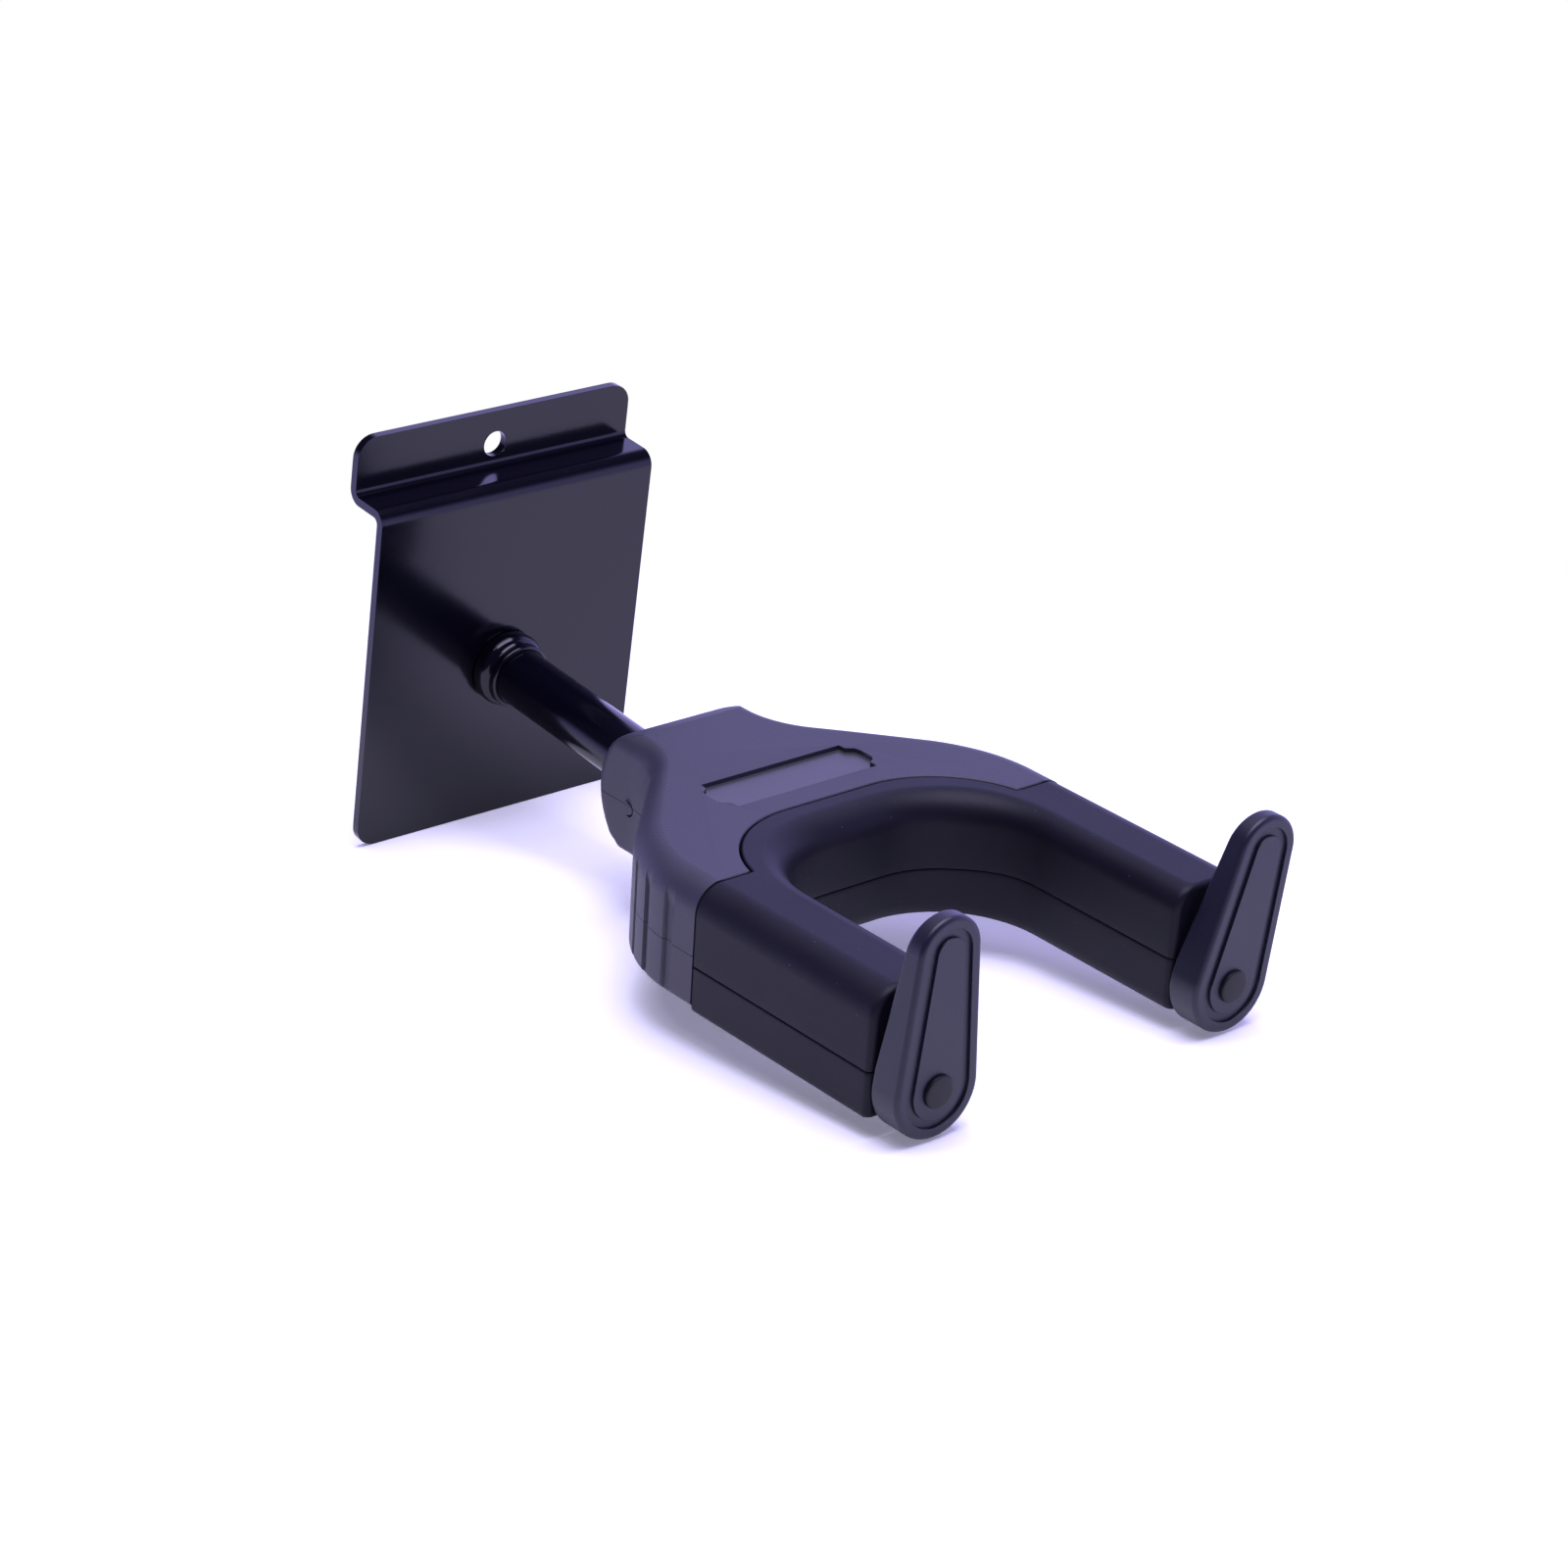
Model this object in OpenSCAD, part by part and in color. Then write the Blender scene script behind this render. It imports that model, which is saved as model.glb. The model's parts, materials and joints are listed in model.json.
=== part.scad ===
// Wall hanger for a guitar, for slotted shop wall board.
// A steel plate hooks behind the board's lip and carries a rod. A plastic head swivels on the
// rod and holds a padded U-shaped cradle that sinks a little under load. Two shafts inside the
// cradle's arms turn with that drop and swing the end gates across the opening.
// Frame: origin on the plate's back face at the rod's axis, +Y into the wall, +Z up.
// "Reach" is the distance out from the plate's front face, measured along the tilted head.

/* [Wall plate] */
// Width of the plate
plate_w = 75; // [60:1:100]
// Thickness of the sheet steel
plate_t = 2; // [1.5:0.1:3]
// Depth of the flat below the rod's axis
plate_below = 38.4; // [30:0.1:60]
// Height of the flat above the rod's axis, up to the first bend
plate_above = 42.3; // [25:0.1:60]
// How far the hooked tab stands behind the flat, face to face
tab_step = 10.7; // [8:0.1:14]
// Height of the tab's top edge above the rod's axis
tab_top = 59.2; // [55:0.1:75]
// Height of the locking screw's hole above the rod's axis
hole_up = 51.1; // [50:0.1:60]
// Diameter of the locking screw's hole
hole_d = 6; // [4:0.1:7]
// Radius of the plate's corners
corner_r = 5; // [2:0.5:8]

/* [Rod] */
// Diameter of the rod
rod_d = 13.16; // [12.9:0.02:13.2]
// Length of the rod up to its shoulder
rod_len = 71; // [70.5:0.1:71]
// Diameter of the rod's front spigot
spigot_d = 9; // [8.5:0.1:9]
// Largest diameter of the collar at the plate
collar_d = 17.6; // [16:0.1:20]
// Length of the collar
collar_len = 8; // [6:0.5:12]

/* [Head] */
// Tilt of the head and cradle above level
yoke_tilt = 5.24; // [3:0.01:6]
// Half the width of the neck
neck_w = 17.2; // [16.5:0.1:18]
// Half the width across the shoulders
head_w = 50.5; // [50:0.1:52]
// Reach of the neck's rear face
head_rear = 55.7; // [54:0.1:56]
// Reach of the head's front faces
head_front = 132.8; // [132:0.1:133]
// Height of the top face above the head's own axis
top_t = 11.5; // [11:0.1:13]
// Depth of the head's bottom face
head_bottom = 15.6; // [15.2:0.1:16.5]
// Height of the joint between the two shells, below the axis
seam_t = 4.1; // [3.8:0.1:4.5]
// Radius of the concave flare from neck to shoulder
flare_r = 20; // [16:0.5:24]
// Radius of the shoulder
shoulder_r = 36; // [32:0.5:38]
// Thickness of the shell walls
wall = 2.3; // [2:0.1:2.5]

/* [Cradle] */
// Width of one arm
arm_w = 19.8; // [19:0.1:21]
// Reach of the arms' ends
arm_end = 187.7; // [180:0.1:200]
// Reach of the bottom of the opening
throat = 124; // [123:0.1:126]
// Depth of the arms' bottom face
cradle_bottom = 16.6; // [16.2:0.1:17]
// Thickness of the rubber
pad_t = 2.4; // [2.2:0.1:3]
// Gap between the cradle and the head
head_gap = 0.5; // [0.4:0.1:0.8]
// How far the cradle sinks under load
drop = 3.6; // [3:0.1:3.8]

/* [Gates] */
// Half the distance between the gate shafts
pin_x = 40.2; // [39.5:0.1:41]
// Depth of the gate shafts below the head's axis
pin_t = 8.9; // [8.6:0.1:9]
// Diameter of a gate shaft
shaft_d = 5; // [4:0.1:5]
// Radius of a gate round its shaft
gate_r = 10.6; // [9:0.1:11]
// Radius of a gate's tip
tip_r = 7.9; // [6:0.1:9]
// Distance from a gate's shaft to the centre of its tip
gate_len = 29.3; // [24:0.1:30]
// Reach of a gate's front face
gate_front = 196.3; // [195.5:0.1:197]
// Lean of the left gate towards the opening
left_lean = 1.5; // [-10:0.1:10]
// Lean of the right gate towards the opening
right_lean = -12.6; // [-15:0.1:10]
// Turn of a gate over the cradle's whole drop
gate_turn = 75; // [70:1:78]

/* [Hidden] */
$fn = 48;

// running clearances, on the radius
shaft_play = 0.05;
slot_play = 0.2;

// plate bends
bend_out = 3.5;
bend_in = bend_out - plate_t;
ledge_y = tab_step - plate_t;

// rod and swivel, as distances along the rod from the plate's front face
tail_r = 5;
rod_r = rod_d / 2;
spigot_r = spigot_d / 2;
bush_start = 62;
bush_end = 70.5;
bush_r = 8.2;
web_start = 72.3;
stop_at = 75.8;
stop_r = 1.25;
stop_len = 8.3;
swivel_limit = 30;
front_bush_start = 80;
web_end = 87;
front_bush_r = 6.5;
end_screw_r = 2;

// head outline
flare_start = 68.5;
diag_run = head_w - neck_w - (flare_r + shoulder_r) * (1 - cos(45));
shoulder_at = flare_start + (flare_r + shoulder_r) * sin(45) + diag_run;
neck_arc_r = 15.8;
neck_arc_reach = head_rear + neck_arc_r;
neck_mid = -2.5;
roof = top_t - 3;
floor_t = -head_bottom + wall;
cavity_start = 88.6;
rib_reaches = [109, 115.5, 123.5];

// badge recess on top of the head
badge_reach = 101.2;
badge_w = 38;
badge_d = 12.5;
badge_deep = 1;
badge_side = 2.2;

// cradle outline
arch_r = 25;
arch_x = 11.8;
arch_bottom = 114.2;
arm_rear = head_front + head_gap;
arm_in = head_w - arm_w;
throat_r = 22.7;
throat_x = arm_in - throat_r;
cradle_seam = -5.2;
frame_top = top_t - pad_t;
frame_bottom = -cradle_bottom + pad_t;

// tongue and guide pins
tongue_w = 23;
tongue_rear = 98;
tongue_t = 3;
guide_x = 16;
guide_reach = 104;
guide_r = 2.5;
guide_seat = 0.8;
spring_r = 3.7;
spring_wire = 0.8;
spring_turns = 5;

// gate shafts and cranks
shaft_r = shaft_d / 2;
crank_r = drop / 2 / sin(gate_turn / 2);
crank_angle = -gate_turn / 2;
crank_front = 122;
crank_t = 4.2;
crank_plate = 1.2;
shaft_rear = crank_front - crank_t + crank_plate;
crank_pin_r = 1.4;
crank_pin_len = 3.8;
guide_gap = 0.4;
guide_front = crank_front - crank_t - guide_gap;
guide_rear = guide_front - 4;
window_reach = guide_front + 0.2;
arm_bush_r = 4;
arm_bush_len = 11.5;
bush_flange_r = 5.6;
bush_flange_t = 0.5;
gate_back = 188.5;
gate_back_tip = 192.3;
gate_taper_from = 4;
shaft_front = 193;
screw_r = 1.5;
screw_head_r = 3.6;
screw_head_t = 0.9;
groove_inset = 2.5;
groove_w = 1.9;
groove_deep = 0.5;
fastener_r = 1.25;
fastener_head_r = 2.5;

// ---------------------------------------------------------------- outlines

function arc(c, r, a0, a1, n) = [for (i = [0:n]) c + r * [cos(a0 + (a1 - a0) * i / n), sin(a0 + (a1 - a0) * i / n)]];
function mirrored(half) = concat(half, [for (i = [len(half) - 1:-1:0]) [-half[i][0], half[i][1]]]);

// Head seen from above, without the cradle's arch, as [x, reach].
function head_half(inset) = concat(
    arc([neck_w - 3, head_rear + 3], 3 - inset, 270, 360, 3),
    arc([neck_w + flare_r, flare_start], flare_r + inset, 180, 135, 8),
    arc([head_w - shoulder_r, shoulder_at], shoulder_r - inset, -45, 0, 10),
    [[head_w - inset, head_front - inset]]);

// Edge of the arch that the cradle fits in, grown into the head by the given amount.
function arch_half(grow) = concat(
    arc([arch_x, arch_bottom + arch_r], arch_r + grow, 270, 360, 16),
    [[arch_x + arch_r + grow, head_front + 20]]);

// Cradle seen from above, as [x, reach].
function cradle_half(inset) = let (
        r = arch_r - inset,
        rise = asin((arch_bottom + arch_r - arm_rear - inset) / r))
    concat(
    arc([arch_x, arch_bottom + arch_r], r, 270, 360 - rise, 10),
    [[head_w - inset, arm_rear + inset],
     [head_w - inset, arm_end - inset],
     [arm_in + inset, arm_end - inset]],
    arc([throat_x, throat + throat_r], throat_r + inset, 360, 270, 12));

// Gate outline: two round ends joined by tangents.
function gate_outline(inset) = let (big = gate_r - inset, small = tip_r - inset, a = asin((big - small) / gate_len))
    concat(arc([0, gate_len], small, a, 180 - a, 16), arc([0, 0], big, 180 - a, 360 + a, 26));

// ---------------------------------------------------------------- placing

// The head's own frame: x across, y back to the wall, z square to the top face.
module in_yoke() {
    translate([0, -plate_t, 0]) rotate([-yoke_tilt, 0, 0]) children();
}

// A flat layer between two heights, from an [x, reach] outline.
module layer(low, high, outline) {
    translate([0, 0, low]) linear_extrude(high - low) mirror([0, 1]) polygon(outline);
}

module block(x0, x1, reach0, reach1, low, high) {
    translate([x0, -reach1, low]) cube([x1 - x0, reach1 - reach0, high - low]);
}

// A cylinder along the rod, in the row's frame.
module on_rod(from, to, r) {
    translate([0, -plate_t - from, 0]) rotate([90, 0, 0]) cylinder(r = r, h = to - from);
}

// The same, in the head's frame.
module rod_bore(from, to, r) {
    rotate([yoke_tilt, 0, 0]) translate([0, -from, 0]) rotate([90, 0, 0]) cylinder(r = r, h = to - from);
}

// A cylinder along a gate shaft's axis, in the head's frame.
module on_shaft(side, from, to, r) {
    translate([side * pin_x, -from, -pin_t]) rotate([90, 0, 0]) cylinder(r = r, h = to - from);
}

module upright(x, reach, low, high, r) {
    translate([x, -reach, low]) cylinder(r = r, h = high - low);
}

module ring_on_rod(from, to, outer, inner) {
    difference() {
        on_rod(from, to, outer);
        on_rod(from - 1, to + 1, inner);
    }
}

// ---------------------------------------------------------------- wall bracket

// Bent sheet seen from the side, as [y, z].
function plate_profile() = concat(
    [[-plate_t, -plate_below]],
    arc([bend_out - plate_t, plate_above], bend_out, 180, 90, 8),
    arc([ledge_y - bend_in, plate_above + bend_out + bend_in], bend_in, 270, 360, 6),
    [[ledge_y, tab_top], [tab_step, tab_top]],
    arc([ledge_y - bend_in, plate_above + bend_out + bend_in], bend_out, 360, 270, 8),
    arc([bend_out - plate_t, plate_above], bend_in, 90, 180, 6),
    [[0, -plate_below]]);

// Plate seen from the front, with round corners.
function plate_face() = let (x = plate_w / 2 - corner_r) concat(
    arc([x, tab_top - corner_r], corner_r, 0, 90, 6),
    arc([-x, tab_top - corner_r], corner_r, 90, 180, 6),
    arc([-x, corner_r - plate_below], corner_r, 180, 270, 6),
    arc([x, corner_r - plate_below], corner_r, 270, 360, 6));

module wall_plate() {
    color("#1b1a22") difference() {
        intersection() {
            translate([-plate_w / 2, 0, 0]) rotate([90, 0, 90]) linear_extrude(plate_w) polygon(plate_profile());
            translate([0, 20, 0]) rotate([90, 0, 0]) linear_extrude(40) polygon(plate_face());
        }
        translate([0, 20, hole_up]) rotate([90, 0, 0]) cylinder(d = hole_d, h = 40);
        translate([0, 1, 0]) rotate([90, 0, 0]) cylinder(r = tail_r, h = 4);
    }
}

module support_rod() {
    color("#16151c") difference() {
        union() {
            on_rod(-plate_t, 0, tail_r);
            on_rod(0, rod_len, rod_r);
            on_rod(rod_len, web_end + 0.1, spigot_r);
        }
        on_rod(web_end - 9.5, web_end + 1, end_screw_r);
        translate([0, -plate_t - stop_at, 0]) cylinder(r = stop_r, h = stop_len);
    }
}

// Rounded ring at the rod's root, with a small rim where the rod leaves it.
module rod_collar() {
    rim = collar_len - 1;
    bulge = collar_d / 2 - rod_r;
    color("#1d1b24") translate([0, -plate_t, 0]) rotate([90, 0, 0]) rotate_extrude()
        polygon(concat(
            [[rod_r, 0]],
            [for (i = [0:8]) [rod_r + bulge * (0.55 + 0.45 * sin(180 * i / 8)), rim * i / 8]],
            [[rod_r + 1.3, rim], [rod_r + 1.3, collar_len], [rod_r, collar_len]]));
}

module swivel_stop_pin() {
    color("silver") translate([0, -plate_t - stop_at, 0]) cylinder(r = stop_r, h = stop_len);
}

module thrust_washer() {
    color("#c9b37a") ring_on_rod(rod_len + 0.05, web_start - 0.1, bush_r - 0.2, spigot_r + 0.1);
}

module rod_end_washer() {
    color("silver") ring_on_rod(web_end + 0.1, web_end + 1.3, front_bush_r - 0.2, end_screw_r);
}

module rod_end_screw() {
    color("silver") difference() {
        union() {
            on_rod(web_end - 9, web_end + 1.3, end_screw_r);
            on_rod(web_end + 1.3, web_end + 3.6, 3.6);
        }
        on_rod(web_end + 2.3, web_end + 4, 1.5);
    }
}

// ---------------------------------------------------------------- head

// Head seen from the side: the rear is one round face from top to bottom.
function head_profile() = let (
        up = asin((top_t - neck_mid) / neck_arc_r),
        down = asin((head_bottom + neck_mid) / neck_arc_r))
    concat(
    arc([neck_arc_reach, neck_mid], neck_arc_r, 180 + down, 180 - up, 14),
    [[head_front, top_t], [head_front, -head_bottom]]);

module head_solid() {
    intersection() {
        layer(-head_bottom, top_t, mirrored(head_half(0)));
        translate([-head_w, 0, 0]) mirror([0, 1]) rotate([90, 0, 90]) linear_extrude(2 * head_w)
            polygon(head_profile());
    }
}

// Room inside the head for the tongue, springs and cranks.
module head_room() {
    difference() {
        intersection() {
            layer(floor_t, roof, mirrored(head_half(wall)));
            block(-head_w, head_w, cavity_start, head_front, -head_bottom, top_t);
        }
        layer(floor_t - 1, roof + 1, mirrored(arch_half(head_gap + wall)));
    }
    // slot in the arch's wall for the tongue and its drop
    block(-tongue_w - 0.7, tongue_w + 0.7, cavity_start + 4, throat, -tongue_t - drop - 0.6, tongue_t + 0.4);
}

// Bores for the rod, its bushes and its stop pin.
module swivel_bores() {
    rod_bore(40, bush_start + 1, rod_r + 0.3);
    rod_bore(bush_start, web_start, bush_r);
    rod_bore(web_start - 1, front_bush_start + 1, spigot_r + 0.2);
    rod_bore(front_bush_start, web_end, front_bush_r);
    rod_bore(web_end, cavity_start + 1, front_bush_r + 0.2);
    rotate([yoke_tilt, 0, 0]) translate([0, -stop_at + stop_r + slot_play, 0]) rotate([90, 0, 0])
        linear_extrude(2 * (stop_r + slot_play)) intersection() {
            circle(r = stop_len + 0.3);
            stop_wedge();
        }
}

// Sector that the stop pin sweeps, each side parallel to the pin at its limit.
module stop_wedge() {
    apex = -(stop_r + slot_play) / sin(swivel_limit);
    far = 2 * stop_len;
    polygon([[0, apex], [far * sin(swivel_limit), apex + far * cos(swivel_limit)],
             [-far * sin(swivel_limit), apex + far * cos(swivel_limit)]]);
}

// Upright grooves that leave ribs on each shoulder.
module shoulder_grooves() {
    for (side = [-1, 1], reach = rib_reaches) {
        x = head_w - shoulder_r + sqrt(shoulder_r ^ 2 - (shoulder_at - min(reach, shoulder_at)) ^ 2);
        upright(side * (x + 0.7), reach, -head_bottom - 1, top_t + 1, 1.2);
    }
}

// Stepped recess for the badge, as [x, reach].
function badge_outline(inset) = let (x = badge_w / 2 - inset, y = badge_d / 2 - inset, s = badge_side)
    [for (p = [[-x, -y], [x, -y], [x, -y + s], [x + s, -y + s + 1], [x + s, y - s - 1], [x, y - s], [x, y],
               [-x, y], [-x, y - s], [-x - s, y - s - 1], [-x - s, -y + s + 1], [-x, -y + s]])
     p + [0, badge_reach]];

screw_spots = [[-11, 93], [11, 93], [-29, 103], [29, 103]];

module screw_holes(low, high, r) {
    for (spot = screw_spots) upright(spot[0], spot[1], low, high, r);
}

module head_upper_shell() {
    color("#2b2a33") in_yoke() difference() {
        union() {
            difference() {
                intersection() {
                    head_solid();
                    block(-60, 60, 40, 140, -seam_t, top_t + 1);
                }
                head_room();
            }
            screw_holes(-seam_t, roof, 3);
        }
        layer(-head_bottom - 1, top_t + 1, mirrored(arch_half(head_gap)));
        swivel_bores();
        shoulder_grooves();
        layer(top_t - badge_deep, top_t + 1, badge_outline(0));
        screw_holes(-seam_t - 1, roof - 1, fastener_r);
        for (side = [-1, 1]) upright(side * guide_x, guide_reach, 0, roof + guide_seat, guide_r);
    }
}

module head_lower_shell() {
    color("#2b2a33") in_yoke() difference() {
        union() {
            difference() {
                intersection() {
                    head_solid();
                    block(-60, 60, 40, 140, -head_bottom - 1, -seam_t);
                }
                head_room();
            }
            screw_holes(floor_t, -seam_t, 3);
        }
        layer(-head_bottom - 1, top_t + 1, mirrored(arch_half(head_gap)));
        swivel_bores();
        shoulder_grooves();
        screw_holes(-head_bottom - 1, 0, fastener_r);
        screw_holes(-head_bottom - 1, -head_bottom + 1.8, fastener_head_r + 0.1);
        for (side = [-1, 1]) {
            upright(side * guide_x, guide_reach, floor_t - guide_seat, 0, guide_r);
            crank_window(side);
        }
    }
}

// Opening under each crank, which also lets the shaft sink with the cradle.
module crank_window(side) {
    half = shaft_r + 0.8;
    block(side * pin_x - half, side * pin_x + half, window_reach, head_front + 1,
          -head_bottom - 1, -pin_t + half);
    block(side * (pin_x + 1) - 5.2, side * (pin_x + 1) + 5.2, window_reach, crank_front + 1.5,
          -head_bottom - 1, floor_t + 1);
}

// Plain blank badge with a raised rim.
module badge_insert() {
    color("#3a3944") in_yoke() difference() {
        layer(top_t - badge_deep, top_t - 0.2, badge_outline(0.3));
        layer(top_t - 0.5, top_t + 1, badge_outline(1.1));
    }
}

module shell_screws() {
    color("silver") in_yoke() {
        screw_holes(-head_bottom + 0.3, roof - 1.5, fastener_r);
        screw_holes(-head_bottom + 0.3, -head_bottom + 1.8, fastener_head_r);
    }
}

module rear_swivel_bush() {
    color("#d8d4c4") ring_on_rod(bush_start, bush_end, bush_r, rod_r + shaft_play);
}

module front_swivel_bush() {
    color("#d8d4c4") ring_on_rod(front_bush_start, web_end, front_bush_r, spigot_r + shaft_play);
}

module guide_pins() {
    color("silver") in_yoke() for (side = [-1, 1])
        upright(side * guide_x, guide_reach, floor_t - guide_seat, roof + guide_seat, guide_r);
}

// Block with a level slot that holds the crank's pin at one height.
module crank_guide(side) {
    pin_height = -pin_t + crank_r * sin(crank_angle);
    near = pin_x + crank_r * cos(crank_angle) - crank_pin_r - slot_play;
    far = pin_x + crank_r + crank_pin_r + slot_play;
    color("#e4e1d6") in_yoke() mirror([side < 0 ? 1 : 0, 0, 0]) difference() {
        block(near - 2, far + 0.9, guide_rear, guide_front, floor_t, pin_height + crank_pin_r + 1.8);
        block(near, far, guide_rear - 1, guide_front + 1,
              pin_height - crank_pin_r - slot_play, pin_height + crank_pin_r + slot_play);
    }
}
module left_crank_guide() { crank_guide(-1); }
module right_crank_guide() { crank_guide(1); }

// Coil spring round a guide pin, between the floor and the tongue.
module return_spring(side) {
    low = floor_t + spring_wire / 2 + 0.1;
    high = -tongue_t - spring_wire / 2 - 0.1;
    steps = 16 * spring_turns;
    sides = 6;
    function ring(i) = let (a = 360 * spring_turns * i / steps, z = low + (high - low) * i / steps)
        [for (k = [0:sides - 1]) let (b = 360 * k / sides, r = spring_r + spring_wire / 2 * cos(b))
            [r * cos(a), r * sin(a), z + spring_wire / 2 * sin(b)]];
    points = [for (i = [0:steps], p = ring(i)) p];
    walls = [for (i = [0:steps - 1], k = [0:sides - 1]) let (n = (k + 1) % sides)
        [i * sides + k, i * sides + n, (i + 1) * sides + n, (i + 1) * sides + k]];
    ends = [[for (k = [sides - 1:-1:0]) k], [for (k = [0:sides - 1]) steps * sides + k]];
    color("silver") in_yoke() translate([side * guide_x, -guide_reach, 0])
        polyhedron(points, concat([for (w = walls) [w[3], w[2], w[1], w[0]]],
                                  [for (e = ends) [for (j = [len(e) - 1:-1:0]) e[j]]]));
}
module left_return_spring() { return_spring(-1); }
module right_return_spring() { return_spring(1); }

// ---------------------------------------------------------------- cradle

cradle_spots = [[-19, 121.5], [19, 121.5], [-45.2, 160], [45.2, 160]];

module cradle_screw_holes(low, high, r) {
    for (spot = cradle_spots) upright(spot[0], spot[1], low, high, r);
}

// Stiff core with a tongue that rides on the guide pins.
module cradle_frame() {
    color("#4a4955") in_yoke() difference() {
        union() {
            layer(frame_bottom, frame_top, mirrored(cradle_half(pad_t)));
            block(-tongue_w, tongue_w, tongue_rear, throat - 4, -tongue_t, tongue_t);
        }
        for (side = [-1, 1]) {
            upright(side * guide_x, guide_reach, -20, 20, guide_r + shaft_play);
            on_shaft(side, arm_rear, arm_end, shaft_r + 0.5);
            on_shaft(side, arm_rear, arm_rear + pad_t + arm_bush_len, arm_bush_r);
            on_shaft(side, arm_end - arm_bush_len, arm_end + 1, arm_bush_r);
            // lightening pocket in each arm
            block(side * pin_x - 4.4, side * pin_x + 4.4, arm_rear + 10, arm_end - 12, -1, frame_top + 1);
        }
        cradle_screw_holes(-20, 3, fastener_r);
    }
}

// Openings for the shafts and the tongue that both rubber parts leave.
module pad_openings() {
    block(-tongue_w - 0.2, tongue_w + 0.2, 100, throat - 3.7, -tongue_t, tongue_t);
    for (side = [-1, 1]) on_shaft(side, arm_rear - 1, arm_end + 1, arm_bush_r);
}

module upper_pad() {
    color("#201f29") in_yoke() difference() {
        layer(cradle_seam, top_t, mirrored(cradle_half(0)));
        layer(cradle_seam - 1, frame_top, mirrored(cradle_half(pad_t)));
        pad_openings();
    }
}

module lower_pad() {
    color("#201f29") in_yoke() difference() {
        layer(-cradle_bottom, cradle_seam, mirrored(cradle_half(0)));
        layer(frame_bottom, cradle_seam + 1, mirrored(cradle_half(pad_t)));
        pad_openings();
        cradle_screw_holes(-20, 0, fastener_r);
        cradle_screw_holes(-20, -cradle_bottom + 1.4, fastener_head_r + 0.1);
    }
}

module cradle_screws() {
    color("silver") in_yoke() {
        cradle_screw_holes(-cradle_bottom + 0.3, 2, fastener_r);
        cradle_screw_holes(-cradle_bottom + 0.3, -cradle_bottom + 1.4, fastener_head_r);
    }
}

module front_bush(side) {
    color("#15141a") in_yoke() difference() {
        union() {
            on_shaft(side, arm_end - arm_bush_len, arm_end, arm_bush_r);
            on_shaft(side, arm_end, arm_end + bush_flange_t, bush_flange_r);
        }
        on_shaft(side, arm_end - arm_bush_len - 1, arm_end + 1, shaft_r + shaft_play);
    }
}
module left_front_bush() { front_bush(-1); }
module right_front_bush() { front_bush(1); }

module rear_bush(side) {
    color("#15141a") in_yoke() difference() {
        on_shaft(side, arm_rear, arm_rear + arm_bush_len, arm_bush_r);
        on_shaft(side, arm_rear - 1, arm_rear + arm_bush_len + 1, shaft_r + shaft_play);
    }
}
module left_rear_bush() { rear_bush(-1); }
module right_rear_bush() { rear_bush(1); }

// ---------------------------------------------------------------- gates

// Places a gate's own drawing (x across, y up the gate) on its shaft, leaning about it.
module on_gate(side, lean, from, to) {
    in_yoke() translate([side * pin_x, -from, -pin_t]) rotate([90, 0, 0]) rotate(side * lean)
        linear_extrude(to - from) children();
}

// Side view of a gate as [reach, height]: thick at the shaft, thinner at the tip.
module gate_side(side, lean) {
    low = -gate_r - 1;
    high = gate_len + tip_r + 1;
    in_yoke() translate([side * pin_x, 0, -pin_t]) rotate([0, -side * lean, 0])
        mirror([0, 1]) translate([-20, 0, 0]) rotate([90, 0, 90]) linear_extrude(40)
            polygon([[gate_back, low], [gate_back, gate_taper_from], [gate_back_tip, high],
                     [gate_front + 1, high], [gate_front + 1, low]]);
}

module gate(side, lean) {
    color("#33323d") difference() {
        intersection() {
            on_gate(side, lean, gate_back - 1, gate_front) polygon(gate_outline(0));
            gate_side(side, lean);
        }
        on_gate(side, lean, gate_front - groove_deep, gate_front + 1) difference() {
            polygon(gate_outline(groove_inset));
            polygon(gate_outline(groove_inset + groove_w));
        }
        in_yoke() {
            on_shaft(side, gate_back - 1, shaft_front, shaft_r);
            on_shaft(side, gate_back - 1, gate_front + 1, screw_r);
        }
    }
}
module left_gate() { gate(-1, left_lean); }
module right_gate() { gate(1, right_lean); }

module gate_shaft(side) {
    color("silver") in_yoke() difference() {
        on_shaft(side, shaft_rear, shaft_front, shaft_r);
        on_shaft(side, shaft_front - 8, shaft_front + 1, screw_r);
    }
}
module left_gate_shaft() { gate_shaft(-1); }
module right_gate_shaft() { gate_shaft(1); }

// Lever on the shaft's rear end: a socket, a plate behind it and a pin that runs in the guide block.
module crank(side) {
    hub_r = 3.4;
    end_r = 2.2;
    color("#b9b8bf") in_yoke() mirror([side < 0 ? 1 : 0, 0, 0]) difference() {
        translate([pin_x, -crank_front + crank_t, -pin_t]) rotate([90, 0, 0]) rotate(crank_angle) {
            cylinder(r = hub_r, h = crank_t);
            translate([crank_r, 0, 0]) cylinder(r = end_r, h = crank_plate);
            translate([crank_r, 0, -crank_pin_len]) cylinder(r = crank_pin_r, h = crank_pin_len + crank_plate / 2);
        }
        on_shaft(1, shaft_rear, crank_front + 1, shaft_r);
    }
}
module left_crank() { crank(-1); }
module right_crank() { crank(1); }

module gate_screw(side) {
    color("#1a191f") in_yoke() {
        on_shaft(side, shaft_front - 7.5, gate_front, screw_r);
        on_shaft(side, gate_front, gate_front + screw_head_t, screw_head_r);
    }
}
module left_gate_screw() { gate_screw(-1); }
module right_gate_screw() { gate_screw(1); }

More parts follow.
